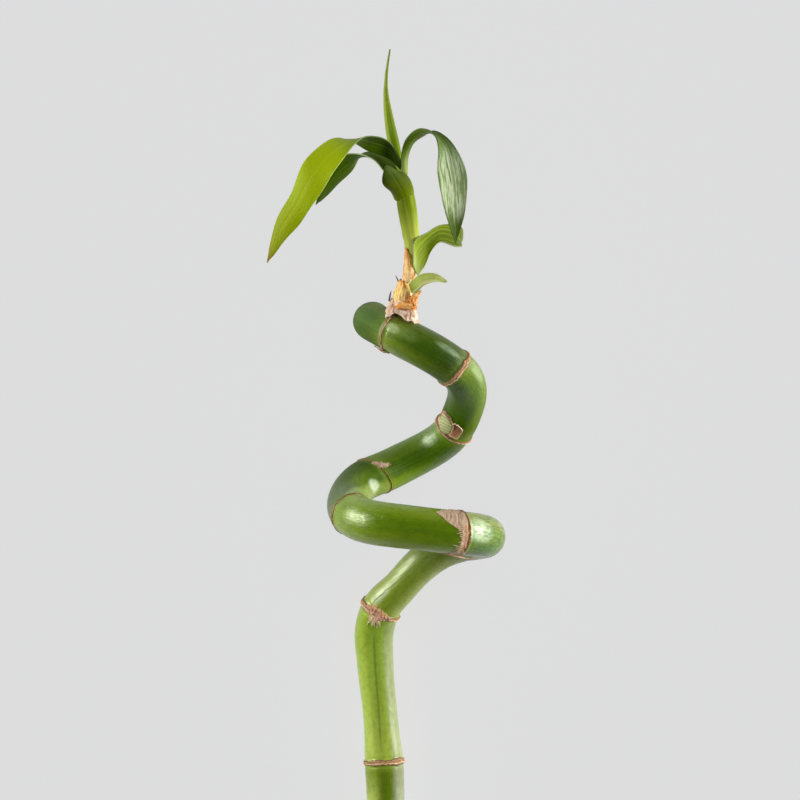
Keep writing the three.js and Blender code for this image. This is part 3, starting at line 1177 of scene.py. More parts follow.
@dataclass
class Cane:
    """The cane itself, with its rings, furrow and cut ends, and the places of things upon it."""

    shop: Workshop
    straight: tuple[Row, ...] = (
        (-8.9, -166.3, 6.6, 6.6), (-9.7, -155.5, 6.7, 7.0), (-10.7, -125.0, 6.6, 6.5),
        (-11.4, -106.7, 6.7, 6.7), (-12.6, -91.5, 6.1, 6.0), (-14.6, -70.7, 6.2, 6.35),
        (-14.9, -61.3, 7.0, 6.75), (-12.3, -52.1, 9.7, 6.7), (-6.2, -45.2, 13.4, 6.1),
        (0.3, -38.0, 16.2, 6.2), (7.6, -32.1, 18.4, 6.7),
    )
    coil: tuple[Row, ...] = (
        (-24, 16.7, -28.8, 7.1), (12, 23.2, -27.0, 7.1), (55, 24.3, -25.0, 7.3), (90, 23.4, -23.3, 7.3),
        (140, 25.0, -20.6, 7.4), (176, 23.7, -15.6, 7.0), (212, 22.2, -8.6, 7.0), (240, 21.2, -5.1, 7.0),
        (282, 21.6, 2.5, 6.8), (307, 20.1, 8.7, 6.7), (330, 18.5, 16.8, 6.7), (356, 16.9, 23.1, 6.7),
        (409, 15.7, 31.7, 6.7), (452, 15.1, 38.0, 6.7), (507, 15.1, 44.5, 6.6), (538, 15.1, 45.9, 6.5),
        (565, 16.7, 46.6, 6.4),
    )
    coil_axis: float = 28.0
    coil_step: float = 15.0
    rings: tuple[Ring, ...] = (
        Ring(10.8, 0.35, wear=0.8),
        Ring(60.6, 0.78, wear=0.9, rise=0.3, collar=0.36),
        Ring(114.5, 0.95, rise=0.4, collar=0.45),
        Ring(186.4, 0.5, lean=1.0, toward=-40, rise=0.25, collar=0.25, tissue=Tissue.DARK_BAND),
        Ring(228.0, 0.3, wear=0.9, collar=0.14, tissue=Tissue.DARK_BAND),
        Ring(260.3, 0.34, lean=2.8, toward=-95, collar=0.18, tissue=Tissue.DARK_BAND),
        Ring(295.4, 0.5, rise=0.3, collar=0.3),
        Ring(330.9, 0.7, lean=0.4, toward=20, rise=0.3, collar=0.3, bow=0.9),
        Ring(355.3, 0.36, lean=0.5, toward=-50, wear=0.8, collar=0.2),
    )
    lean_reach: float = 5.0
    ring_reach: float = 4.0
    ring_foot: float = 0.15
    ring_wave: float = 0.25
    ring_waves: float = 2.2
    groove_share: float = 0.3
    groove_out: float = 0.7
    groove_width: float = 0.35
    furrow: tuple[float, float] = (62.5, 110.0)
    furrow_fades: tuple[float, float] = (6.0, 8.0)
    furrow_depth: float = 0.5
    furrow_half: float = 13.0
    furrow_turn: float = 10.0
    furrow_drift: float = 0.22
    lumps: float = 0.05
    lump_rate: float = 0.09
    sides: int = 96
    step: float = 0.9
    fine_step: float = 0.16
    fine_reach: float = 2.2
    rim: float = 0.45
    rest: float = 0.06
    cap_rings: int = 4
    cap_step: float = 1.2
    cap_rise: float = 0.03
    far_ring: float = 9.0

    def __post_init__(self) -> None:
        """Lays the path through the straight rows and the spiral."""
        turns = [row[0] for row in self.coil]
        spiral = Smooth(turns, self.coil)
        coiled = []
        for spot in evenly(turns[0], turns[-1], self.coil_step):
            turn, radius, y, thick = spiral.read(spot)
            x, z = radius * math.cos(math.radians(turn)), radius * math.sin(math.radians(turn))
            coiled.append((x, y, self.coil_axis + z, thick))
        self.path = Path([*self.straight, *coiled])

    def _places(self) -> list[float]:
        """Lists the distances of the rows of vertices, close together at the rings and at the cut ends.

        Returns:
            The distances, in rising order.
        """
        length = self.path.length
        reach = self.fine_reach
        near = {round(n, 3) for r in self.rings for n in evenly(r.at - reach, r.at + reach, self.fine_step)}
        clear = [p for p in evenly(0, length, self.step) if all(abs(p - r.at) > reach for r in self.rings)]
        rims = [self.rim * part for part in (0.0, 0.08, 0.3, 0.6, 1.0)]
        middle = [p for p in clear if self.rim < p < length - self.rim]
        return sorted({*rims, *(length - r for r in rims), *near, *middle})

    @staticmethod
    def from_top(station: Station, away: Vector) -> float:
        """Measures how far round from the cane's upper side a direction lies.

        Args:
            station: The place along the cane.
            away: The direction out of it.

        Returns:
            The angle in radians.
        """
        z = Vector((0, 0, 1))
        top = (z - station.along * z.dot(station.along)).normalized()
        return math.atan2(away.dot(top.cross(station.along)), away.dot(top))

    def _slide(self, place: float, turn: float) -> float:
        """Gives how far the leaning and the bowed rings move the skin along the cane.

        Args:
            place: The distance along the cane.
            turn: The angle from the upper side, in radians.

        Returns:
            The millimetres.
        """
        total = 0.0
        for ring in self.rings:
            if ring.lean or ring.bow:
                slide = ring.lean * math.cos(turn - math.radians(ring.toward)) + ring.bow * math.cos(2 * turn)
                total += slide * bump_at(place - ring.at, self.lean_reach)
        return total

    def _furrow_at(self, place: float, turn: float) -> float:
        """Gives the depth of the furrow that one internode has down its upper side.

        Args:
            place: The distance along the cane.
            turn: The angle from the upper side, in radians.

        Returns:
            The depth.
        """
        first, last = self.furrow
        middle = self.furrow_turn - self.furrow_drift * (place - first)
        start = ease(place, first, first + self.furrow_fades[0])
        end = 1 - ease(place, last - self.furrow_fades[1], last)
        return self.furrow_depth * start * end * bump_at(math.degrees(turn) - middle, self.furrow_half)

    def _relief(self, place: float, turn: float) -> float:
        """Gives how far the rings raise the skin, with a fine groove on either side of each.

        Args:
            place: The distance along the cane.
            turn: The angle from the upper side, in radians.

        Returns:
            The height.
        """
        total = 0.0
        for ring in self.rings:
            off = place - ring.at
            if abs(off) > self.ring_reach:
                continue
            wave = self.ring_wave * ring.half_width * grain(ring.at, self.ring_waves * turn)
            total += ring.rise * bump_at(off + wave, ring.half_width + self.ring_foot)
            groove = bump_at(abs(off) - ring.half_width - self.groove_out, self.groove_width)
            total -= self.groove_share * ring.rise * groove
        return total

    def skin(self, station: Station, angle: float, lift: float = 0.0) -> Vector:
        """Finds a point on the cane's skin.

        Args:
            station: The place along the cane.
            angle: The angle in the station's own frame, in radians.
            lift: How far over the skin.

        Returns:
            The point.
        """
        place, away = station.place, station.away(angle)
        turn = self.from_top(station, away)
        edge = min(place, self.path.length - place)
        round_off = self.rim * (1 - math.sqrt(max(0.0, 1 - (1 - min(edge / self.rim, 1.0)) ** 2)))
        radius = station.radius + self._relief(place, turn) - self._furrow_at(place, turn) - round_off
        radius += self.lumps * grain(3, place * self.lump_rate, turn)
        point = station.centre + away * (radius + lift) + station.along * self._slide(place, turn)
        point.z = max(point.z, self.rest)
        return point

    def spot(self, at: float, turn: float, lift: float = 0.0) -> Vector:
        """Finds a point on the skin by its distance and its angle from the upper side.

        Args:
            at: The distance along the cane.
            turn: Degrees round from the upper side.
            lift: How far over the skin.

        Returns:
            The point.
        """
        return self.skin(self.path.stations([at])[0], math.radians(turn), lift)

    def _vertex(self, station: Station, angle: float) -> tuple:
        """Gives one vertex of the skin.

        Args:
            station: The place along the cane.
            angle: The angle in the station's own frame, in radians.

        Returns:
            Its point, its place as if the cane were straight, the nearest ring's distance in half widths and
            in millimetres with its wear, and which way it faces.
        """
        ring = min(self.rings, key=lambda r: abs(station.place - r.at))
        off = abs(station.place - ring.at)
        turn = self.from_top(station, station.away(angle))
        straight = (station.radius * math.cos(angle), station.radius * math.sin(angle), station.place)
        near = (min(off / ring.half_width, self.far_ring), off, ring.wear)
        return self.skin(station, angle), straight, near, (math.sin(turn), math.cos(turn), 0.0)

    def _cap(self, mesh: bmesh.types.BMesh, cap: bmesh.types.BMFace, index: int) -> None:
        """Gives a cut end rings of faces and its own material.

        Args:
            mesh: The cane's mesh.
            cap: The end's face.
            index: The material's index.
        """
        cap.material_index = index
        for _ in range(self.cap_rings):
            inset = bmesh.ops.inset_region(mesh, faces=[cap], thickness=self.cap_step, depth=self.cap_rise)
            for face in inset["faces"]:
                face.material_index = index
        for face in bmesh.ops.poke(mesh, faces=[cap])["faces"]:
            face.material_index = index

    def build(self, skin: bpy.types.Material, foot: bpy.types.Material, head: bpy.types.Material) -> None:
        """Makes the cane and stands it in for its CAD node.

        Args:
            skin: The skin's material.
            foot: The lower cut's material.
            head: The upper cut's material.
        """
        stations = self.path.stations(self._places())
        shell = Shell("straight", "ring", "facing")
        shell.tube(stations, self.sides, self._vertex)
        mesh = shell.mesh
        mesh.normal_update()
        caps = sorted((f for f in mesh.faces if len(f.verts) > 4), key=lambda f: f.calc_center_median().y)
        for cap, index, station in zip(caps, (1, 2), (stations[0], stations[-1])):
            known = set(mesh.verts)
            self._cap(mesh, cap, index)
            for vert in set(mesh.verts) - known:
                off = vert.co - station.centre
                straight = (off.dot(station.up), off.dot(station.side), station.place)
                shell.place(vert, vert.co, straight, (self.far_ring, self.far_ring, 0.0))
        self.shop.finish("bamboo_cane", shell, (skin, foot, head), Slot.CANE, ("cane",))


@dataclass(frozen=True)
class Patch:
    """A thin sheet that follows the cane: rows of a distance, two margins in degrees, and a lift."""

    name: str
    rows: tuple[Row, ...]
    tissue: Tissue
    ragged: float = 0.1
    thickness: float = 0.12
    across: int = 16
    steps: int = 24
    grain_round: bool = False
    lumps: float = 0.03


@dataclass(frozen=True)
class Fringe:
    """A row of torn fingers along a ring: where it runs, how far the longest reaches and how many it has."""

    name: str
    at: float
    first: float
    last: float
    reach: float
    count: int
    tissue: Tissue
    lift: float = 0.5
    breadth: float = 0.62


@dataclass
class RingTissue:
    """What is left of the old leaf sheaths on the cane: collars, torn fingers, patches and the leaf scar."""

    shop: Workshop
    cane: Cane
    finishes: dict[Tissue, bpy.types.Material]
    patches: tuple[Patch, ...] = (
        Patch(
            "leaf_scar",
            (
                (187.2, -96, -2, 0.1), (189.0, -93, -8, 0.24), (191.0, -85, -18, 0.22),
                (192.7, -76, -29, 0.18), (194.4, -67, -45, 0.14), (195.9, -60, -57, 0.05),
            ),
            Tissue.SCAR, thickness=0.16, across=30, steps=30, grain_round=True,
        ),
        Patch(
            "scar_bed",
            (
                (186.7, -34, 66, 0.1), (187.3, -30, 64, 0.2), (188.0, -24, 62, 0.16),
                (188.6, -18, 58, 0.04),
            ),
            Tissue.KNOT, ragged=0.2, across=60, grain_round=True, lumps=0.15,
        ),
        Patch(
            "scar_lip",
            (
                (186.8, -72, -30, 0.5), (187.6, -64, -24, 0.75), (188.6, -56, -20, 0.6),
                (189.4, -48, -24, 0.3),
            ),
            Tissue.SCAR, grain_round=True,
        ),
        Patch(
            "scar_foot",
            (
                (185.8, 56, 88, 0.25), (187.0, 54, 84, 0.35), (188.2, 57, 80, 0.3), (190.0, 66, 76, 0.12),
            ),
            Tissue.SCAR, ragged=0.3, grain_round=True,
        ),
        Patch(
            "second_ring_knot",
            (
                (117.5, -14, 12, 0.1), (116.5, -30, 28, 0.4), (115.2, -40, 40, 0.6), (113.9, -28, 30, 0.65),
                (112.7, -10, 20, 0.5), (111.8, -2, 12, 0.15),
            ),
            Tissue.KNOT, ragged=0.25, thickness=0.2, across=50, steps=50, grain_round=True, lumps=0.3,
        ),
        Patch(
            "fifth_ring_scrap",
            (
                (259.0, 16, 40, 0.15), (260.4, 13, 40, 0.35), (261.8, 11, 34, 0.4), (263.2, 11, 26, 0.35),
                (264.6, 12, 17, 0.15),
            ),
            Tissue.SCAR, ragged=0.35, across=30, lumps=0.12,
        ),
        Patch(
            "top_ring_scrap",
            (
                (359.2, 86, 95, 0.5), (357.2, 82, 99, 0.7), (355.2, 79, 98, 0.6), (353.0, 81, 90, 0.4),
            ),
            Tissue.BAND, ragged=0.3, thickness=0.25,
        ),
        Patch(
            "skin_scratch",
            (
                (117.3, 29.5, 31, 0.03), (119.5, 26, 28, 0.05), (121.6, 23.5, 25.5, 0.05),
                (123.2, 26.5, 28.5, 0.05), (125.5, 24.5, 26, 0.04), (127.9, 22.8, 23.4, 0.02),
            ),
            Tissue.BRISTLE, ragged=0.02, thickness=0.05, across=4,
        ),
    )
    fringes: tuple[Fringe, ...] = (
        Fringe("scar_teeth", 187.4, -22, 62, 2.5, 17, Tissue.SCAR, lift=0.15, breadth=0.34),
        Fringe("second_ring_fringe", 112.7, 22, -12, -3.2, 7, Tissue.PAPER, lift=0.35, breadth=0.7),
        Fringe("fifth_ring_whisker", 263.9, 17, 12, 1.3, 1, Tissue.BAND, lift=0.2),
    )
    strip: tuple[Row, ...] = (
        (0.6, -30.3, 50.4, 0.1), (5.4, -31.1, 50.8, 0.2), (9.6, -31.9, 50.6, 0.26),
        (14.0, -33.0, 49.8, 0.3), (18.2, -33.9, 48.6, 0.14),
    )
    round_mm: float = 0.12
    collar_faces: tuple[int, int] = (150, 10)
    collar_lips: tuple[Row, ...] = ((0.3, 0.16, 1.0), (0.78, 0.13, 0.8), (0.54, 0.07, -0.25))
    collar_sink: float = 0.05
    collar_thickness: float = 0.08
    finger_faces: tuple[int, int] = (4, 10)
    finger_thickness: float = 0.1

    def add_patch(self, patch: Patch, seed: float) -> None:
        """Makes a sheet that is bent onto the cane.

        Args:
            patch: The sheet.
            seed: Which random line roughens its edges.
        """
        margins = Margins(patch.rows)

        def bend(u: float, v: float) -> tuple:
            """Gives one vertex of the sheet.

            Args:
                u: The part across, from -1 to 1.
                v: The part along, from 0 to 1.

            Returns:
                Its point and its vectors.
            """
            at, turn, lift = margins.read(u, v)
            edge = max(abs(u), abs(2 * v - 1))
            rough = patch.ragged * ease(edge, 0.6, 1.0)
            at += rough * grain(seed, 0.35 * turn, v * 3)
            turn += 8 * rough * grain(seed + 5, at * 2.5)
            over = lift * (1.15 - 0.6 * edge) + patch.lumps * grain(seed + 9, turn * 0.2, at)
            around = turn * self.round_mm
            place = (at, seed, around) if patch.grain_round else (around, seed, at)
            return self.cane.spot(at, turn, over), (u, v, edge), place

        shell = Shell()
        shell.grid(patch.across, patch.steps, bend)
        self.shop.finish(patch.name, shell, [self.finishes[patch.tissue]], thickness=patch.thickness)

    def _collar(self, ring: Ring) -> Shell:
        """Makes the ragged double lip of an old leaf base round a ring.

        Args:
            ring: The ring.

        Returns:
            The collar.
        """

        def bend(u: float, v: float) -> tuple:
            """Gives one vertex of the collar.

            Args:
                u: The part across, from -1 to 1.
                v: The part along, from 0 to 1.

            Returns:
                Its point and its vectors.
            """
            turn = 180 * u
            x, y = math.cos(math.radians(turn)), math.sin(math.radians(turn))
            broad = ring.half_width * (1 + 0.5 * grain(ring.at, 1.6 * x, 1.6 * y))
            off = (2 * v - 1) * broad + 0.14 * grain(ring.at + 1, 9 * x, 9 * y)
            ridge = sum(high * bump_at(v - at, width) for at, width, high in self.collar_lips)
            lift = ring.collar * ridge * (1 + 0.5 * grain(ring.at + 2, 6 * x, 6 * y)) - self.collar_sink
            point = self.cane.spot(ring.at + off, turn, lift)
            return point, (u, v, abs(2 * v - 1)), (off * 1.5, ring.at, turn * self.round_mm)

        shell = Shell()
        shell.grid(*self.collar_faces, bend)
        bmesh.ops.remove_doubles(shell.mesh, verts=shell.mesh.verts[:], dist=0.002)
        return shell

    def _finger(self, shell: Shell, fringe: Fringe, index: int) -> None:
        """Adds one torn finger that points along the cane from a ring.

        Args:
            shell: Where it goes.
            fringe: The row that it belongs to.
            index: Its number in the row.
        """
        breadth = (fringe.last - fringe.first) / fringe.count
        middle = fringe.first + breadth * (index + 0.5)
        half = fringe.breadth * abs(breadth)
        ragged = 0.5 * abs(grain(fringe.at + 3, index * 1.7)) + 0.2 * math.sin(2.4 * index + 1)
        long = fringe.reach * (0.6 + ragged)
        sway = 6 * grain(fringe.at + 7, index * 2.3)

        def bend(u: float, v: float) -> tuple:
            """Gives one vertex of the finger.

            Args:
                u: The part across, from -1 to 1.
                v: The part along, from 0 to 1.

            Returns:
                Its point and its vectors.
            """
            turn = middle + u * half * (1 - v) ** 0.6 + sway * v * v
            lift = 0.15 + fringe.lift * v * (1 + grain(fringe.at + index + 2, v)) + 0.1 * u * u
            point = self.cane.spot(fringe.at + long * v, turn, lift)
            return point, (u, v, max(abs(u), v)), (turn * self.round_mm, fringe.at + index, long * v)

        shell.grid(*self.finger_faces, bend)

    def build(self) -> None:
        """Makes the patches, the collars, the torn fingers and the loose strip."""
        for seed, patch in enumerate(self.patches, start=1):
            self.add_patch(patch, seed)
        for number, ring in enumerate(self.cane.rings):
            if ring.collar:
                finish = [self.finishes[ring.tissue]]
                name = f"ring_collar_{number}"
                self.shop.finish(name, self._collar(ring), finish, thickness=self.collar_thickness)
        for fringe in self.fringes:
            shell = Shell()
            for index in range(fringe.count):
                self._finger(shell, fringe, index)
            finish = [self.finishes[fringe.tissue]]
            self.shop.finish(fringe.name, shell, finish, thickness=self.finger_thickness)
        self.shop.finish("dried_strip", thread(self.strip), [self.finishes[Tissue.KNOT]])


@dataclass
class SideBud:
    """The resting side bud at the sixth ring of the photo, the tissue under it and the scale beside it."""

    shop: Workshop
    cane: Cane
    tissue: RingTissue
    at: float = 300.2
    turn: float = 34.0
    lean: float = 31.0
    half_width: float = 2.8
    half_length: float = 4.7
    height: float = 1.5
    ribs: int = 9
    skin_radius: float = 6.8
    socket_seed: float = 21
    socket: Patch = Patch(
        "bud_socket",
        (
            (295.7, -8, 68, 0.25), (297.2, -3, 70, 0.45), (299.0, 4, 70, 0.5), (301.0, 9, 71, 0.45),
            (303.2, 17, 68, 0.35), (305.0, 32, 60, 0.2),
        ),
        Tissue.BAND,
        ragged=0.35, thickness=0.2, across=30, steps=30,
    )
    scale_rows: tuple[Row, ...] = (
        (296.6, 2, -24, 0.75), (299.2, 6, -21, 0.95), (301.5, 9, -17, 1.25), (303.9, 14, -2, 1.6),
    )
    scale_faces: tuple[int, int] = (20, 24)
    scale_size: tuple[float, float] = (2.2, 6.5)
    scale_thickness: float = 0.25

    def build_bud(self, material: bpy.types.Material) -> None:
        """Makes the ribbed bud from a flattened ball, and the tissue under it.

        Args:
            material: The bud's finish.
        """
        shell = Shell()
        bmesh.ops.create_uvsphere(shell.mesh, u_segments=40, v_segments=48, radius=1)
        degrees_per_mm = 180 / (math.pi * self.skin_radius)
        cos, sin = math.cos(math.radians(self.lean)), math.sin(math.radians(self.lean))
        for vert in shell.mesh.verts:
            x, high, y = vert.co
            rib = 0.5 + 0.5 * math.cos(math.pi * self.ribs * (y + 0.2 * x * x))
            long = self.half_length * y
            wide = self.half_width * x * (1 - 0.22 * y)
            lift = self.height * max(high, -0.6) * (1 - 0.14 * rib) + 0.1
            at = self.at + long * cos - wide * sin
            turn = self.turn + (long * sin + wide * cos) * degrees_per_mm
            point = self.cane.spot(at, turn, lift + 0.05 * grain(4, x * 3, y * 3))
            shell.place(vert, point, (x, (y + 1) / 2, math.hypot(x, y)), (long, wide, rib))
        self.shop.finish("side_bud", shell, [material])
        self.tissue.add_patch(self.socket, self.socket_seed)

    def build_scale(self, material: bpy.types.Material) -> None:
        """Makes the curled scale in the place of its CAD node.

        Args:
            material: Its finish.
        """
        margins = Margins(self.scale_rows)
        wide, long = self.scale_size

        def bend(u: float, v: float) -> tuple:
            """Gives one vertex of the scale.

            Args:
                u: The part across, from -1 to 1.
                v: The part along, from 0 to 1.

            Returns:
                Its point and its vectors.
            """
            at, turn, lift = margins.read(u, v)
            hollow = 0.55 * (u * u - 0.4) * ease(v, 0.1, 0.6)
            at += 0.3 * grain(12, u * 3) * ease(v, 0.6, 1.0)
            over = lift * (0.3 + 0.7 * v) + hollow + 0.1 * grain(11, u * 2, v * 3)
            edge = max(abs(u), abs(2 * v - 1))
            return self.cane.spot(at, turn, over), (u, v, edge), (u * wide, 3.0, v * long)

        shell = Shell()
        shell.grid(*self.scale_faces, bend)
        thickness = self.scale_thickness
        self.shop.finish("bud_husk", shell, [material], replaces=("bud_scale",), thickness=thickness)


@dataclass(frozen=True)
class BladeForm:
    """A blade from base to tip: its margins' points and bulge by row, and how it closes and ripples."""

    name: str
    rows: tuple[Row, ...]
    wrap: float
    wave: float
    ripples: float
    across: int = 28
    steps: int = 120
    thickness: float = 0.42
    tip: float = 0.05
    pleat: float = 0.0
    ragged: float = 0.0
    crease: float = 0.0
    arch: float = 0.0
    sink: float = 0.0
    sink_until: float = 0.15
    wrinkle: float = 0.0


@dataclass
class Blade:
    """A leaf or a husk scale, on the same surface as its CAD node."""

    shop: Workshop
    form: BladeForm
    ripple_shift: float = 1.3
    taper: float = 0.25
    pleats: float = 13.0
    crease_width: float = 0.12
    reach: float = 0.02

    def __post_init__(self) -> None:
        """Lays the middle line between the margins."""
        self.path = Path(self.form.rows, lambda row: (Vector(row[:3]) + Vector(row[3:6])) / 2)

    def _point(self, u: float, v: float) -> tuple[Vector, float]:
        """Finds a point of the blade.

        Args:
            u: The part across, from -1 to 1.
            v: The part along, from 0 to 1.

        Returns:
            The point, and the blade's half width there.
        """
        form = self.form
        place = v * self.path.length
        row = self.path.row(place)
        half = (Vector(row[3:6]) - Vector(row[:3])) / 2
        out = half.cross(self.path.heading(place)).normalized()
        opening = math.radians(min(form.wrap, 90))
        turn = u * math.radians(form.wrap)
        bulge = row[6] * (math.cos(turn) - math.cos(opening)) / (1 - math.cos(opening))
        taper = min(1.0, v / self.taper, (1 - v) / self.taper)
        phase = 2 * math.pi * form.ripples * v + (self.ripple_shift if u > 0 else 0)
        ripple = form.wave * taper * u * u * math.sin(phase)
        pleat = math.sin(self.pleats * u + 2 * grain(half.length, v * 3))
        folds = form.pleat * pleat * (1 - abs(u)) * taper
        fold = -form.crease * bump_at(u, self.crease_width) * taper
        fold -= form.sink * (1 - ease(v, 0.0, form.sink_until))
        narrow = max(0.1, math.sqrt(min(1.0, (1 - v) / form.tip))) if form.tip else 1.0
        across = half * (narrow * math.sin(turn) / math.sin(opening))
        return self.path.point_of(row) + across + out * (bulge + ripple + folds + fold), half.length

    def _torn(self, point: Vector, u: float, v: float) -> Vector:
        """Dents a dry scale, tears its ends and cuts the arch at its foot.

        Args:
            point: The smooth scale's point.
            u: The part across, from -1 to 1.
            v: The part along, from 0 to 1.

        Returns:
            The point of the torn scale.
        """
        form = self.form
        seed = float(len(form.name))
        heading = self.path.heading(v * self.path.length)
        torn = grain(seed, u * 5) * ease(v, 0.75, 1.0) + grain(seed + 1, u * 6) * (1 - ease(v, 0.0, 0.2))
        across = self._point(min(u + self.reach, 1), v)[0] - self._point(max(u - self.reach, -1), v)[0]
        dents = 0.35 * form.ragged * grain(seed + 2, u * 4, v * 5)
        dents += form.wrinkle * grain(seed + 3, u * 11, v * 3) * ease(v, 0.0, 0.1)
        arch = bump_at(u + 0.08, 0.22) + 0.5 * (1 - ease(u, -0.2, 0.3))
        dented = point + across.cross(heading).normalized() * dents
        return dented + heading * (form.ragged * torn + form.arch * arch * (1 - v) ** 2)

    def _vertex(self, u: float, v: float) -> tuple:
        """Gives one vertex of the blade.

        Args:
            u: The part across, from -1 to 1.
            v: The part along, from 0 to 1.

        Returns:
            Its point and its vectors.
        """
        point, half = self._point(u, v)
        if self.form.ragged:
            point = self._torn(point, u, v)
        return point, (u, v, abs(u)), (u * half, 0.0, v * self.path.length)

    def build(self, material: bpy.types.Material, slot: Slot, replaces: tuple[str, ...]) -> None:
        """Makes the blade.

        Args:
            material: Its finish.
            slot: The record's slot of that finish.
            replaces: The CAD node that it stands for, if it has one.
        """
        form = self.form
        shell = Shell()
        shell.grid(form.across, form.steps, self._vertex)
        self.shop.finish(form.name, shell, [material], slot, replaces, thickness=form.thickness)


@dataclass
class Stem:
    """A swept green stem: the shoot's own, or a leaf that is still rolled up."""

    shop: Workshop
    name: str
    rows: tuple[Row, ...]
    seams: tuple[tuple[float, float], ...]
    seam_step: float
    seam_reach: float = 0.9
    sides: int = 40
    step: float = 0.6

    def __post_init__(self) -> None:
        """Lays the middle line."""
        self.path = Path(self.rows)

    def _vertex(self, station: Station, angle: float) -> tuple:
        """Gives one vertex of the skin, which steps up where one rolled layer overlaps another.

        Args:
            station: The place along the stem.
            angle: The angle in the station's own frame, in radians.

        Returns:
            Its point, its parts round and along, and its place as if the stem were straight.
        """
        radius = station.radius
        part = station.place / self.path.length
        for start, twist in self.seams:
            turn = (angle - (start + twist * part)) % (2 * math.pi)
            radius += self.seam_step * math.exp(-turn / self.seam_reach) * ease(part, 0.0, 0.1)
        radius *= 1 + 0.012 * grain(8, station.place * 0.3, angle)
        point = station.centre + station.away(angle) * (radius - 0.5 * self.seam_step)
        straight = (2 * math.cos(angle), 2 * math.sin(angle), station.place)
        return point, (math.sin(angle), part, 0.0), straight

    def build(self, material: bpy.types.Material, slot: Slot) -> None:
        """Makes the stem and stands it in for its CAD node.

        Args:
            material: Its finish.
            slot: The record's slot of that finish.
        """
        shell = Shell()
        shell.tube(self.path.stations(evenly(0, self.path.length, self.step)), self.sides, self._vertex)
        self.shop.finish(self.name, shell, [material], slot, (self.name,))


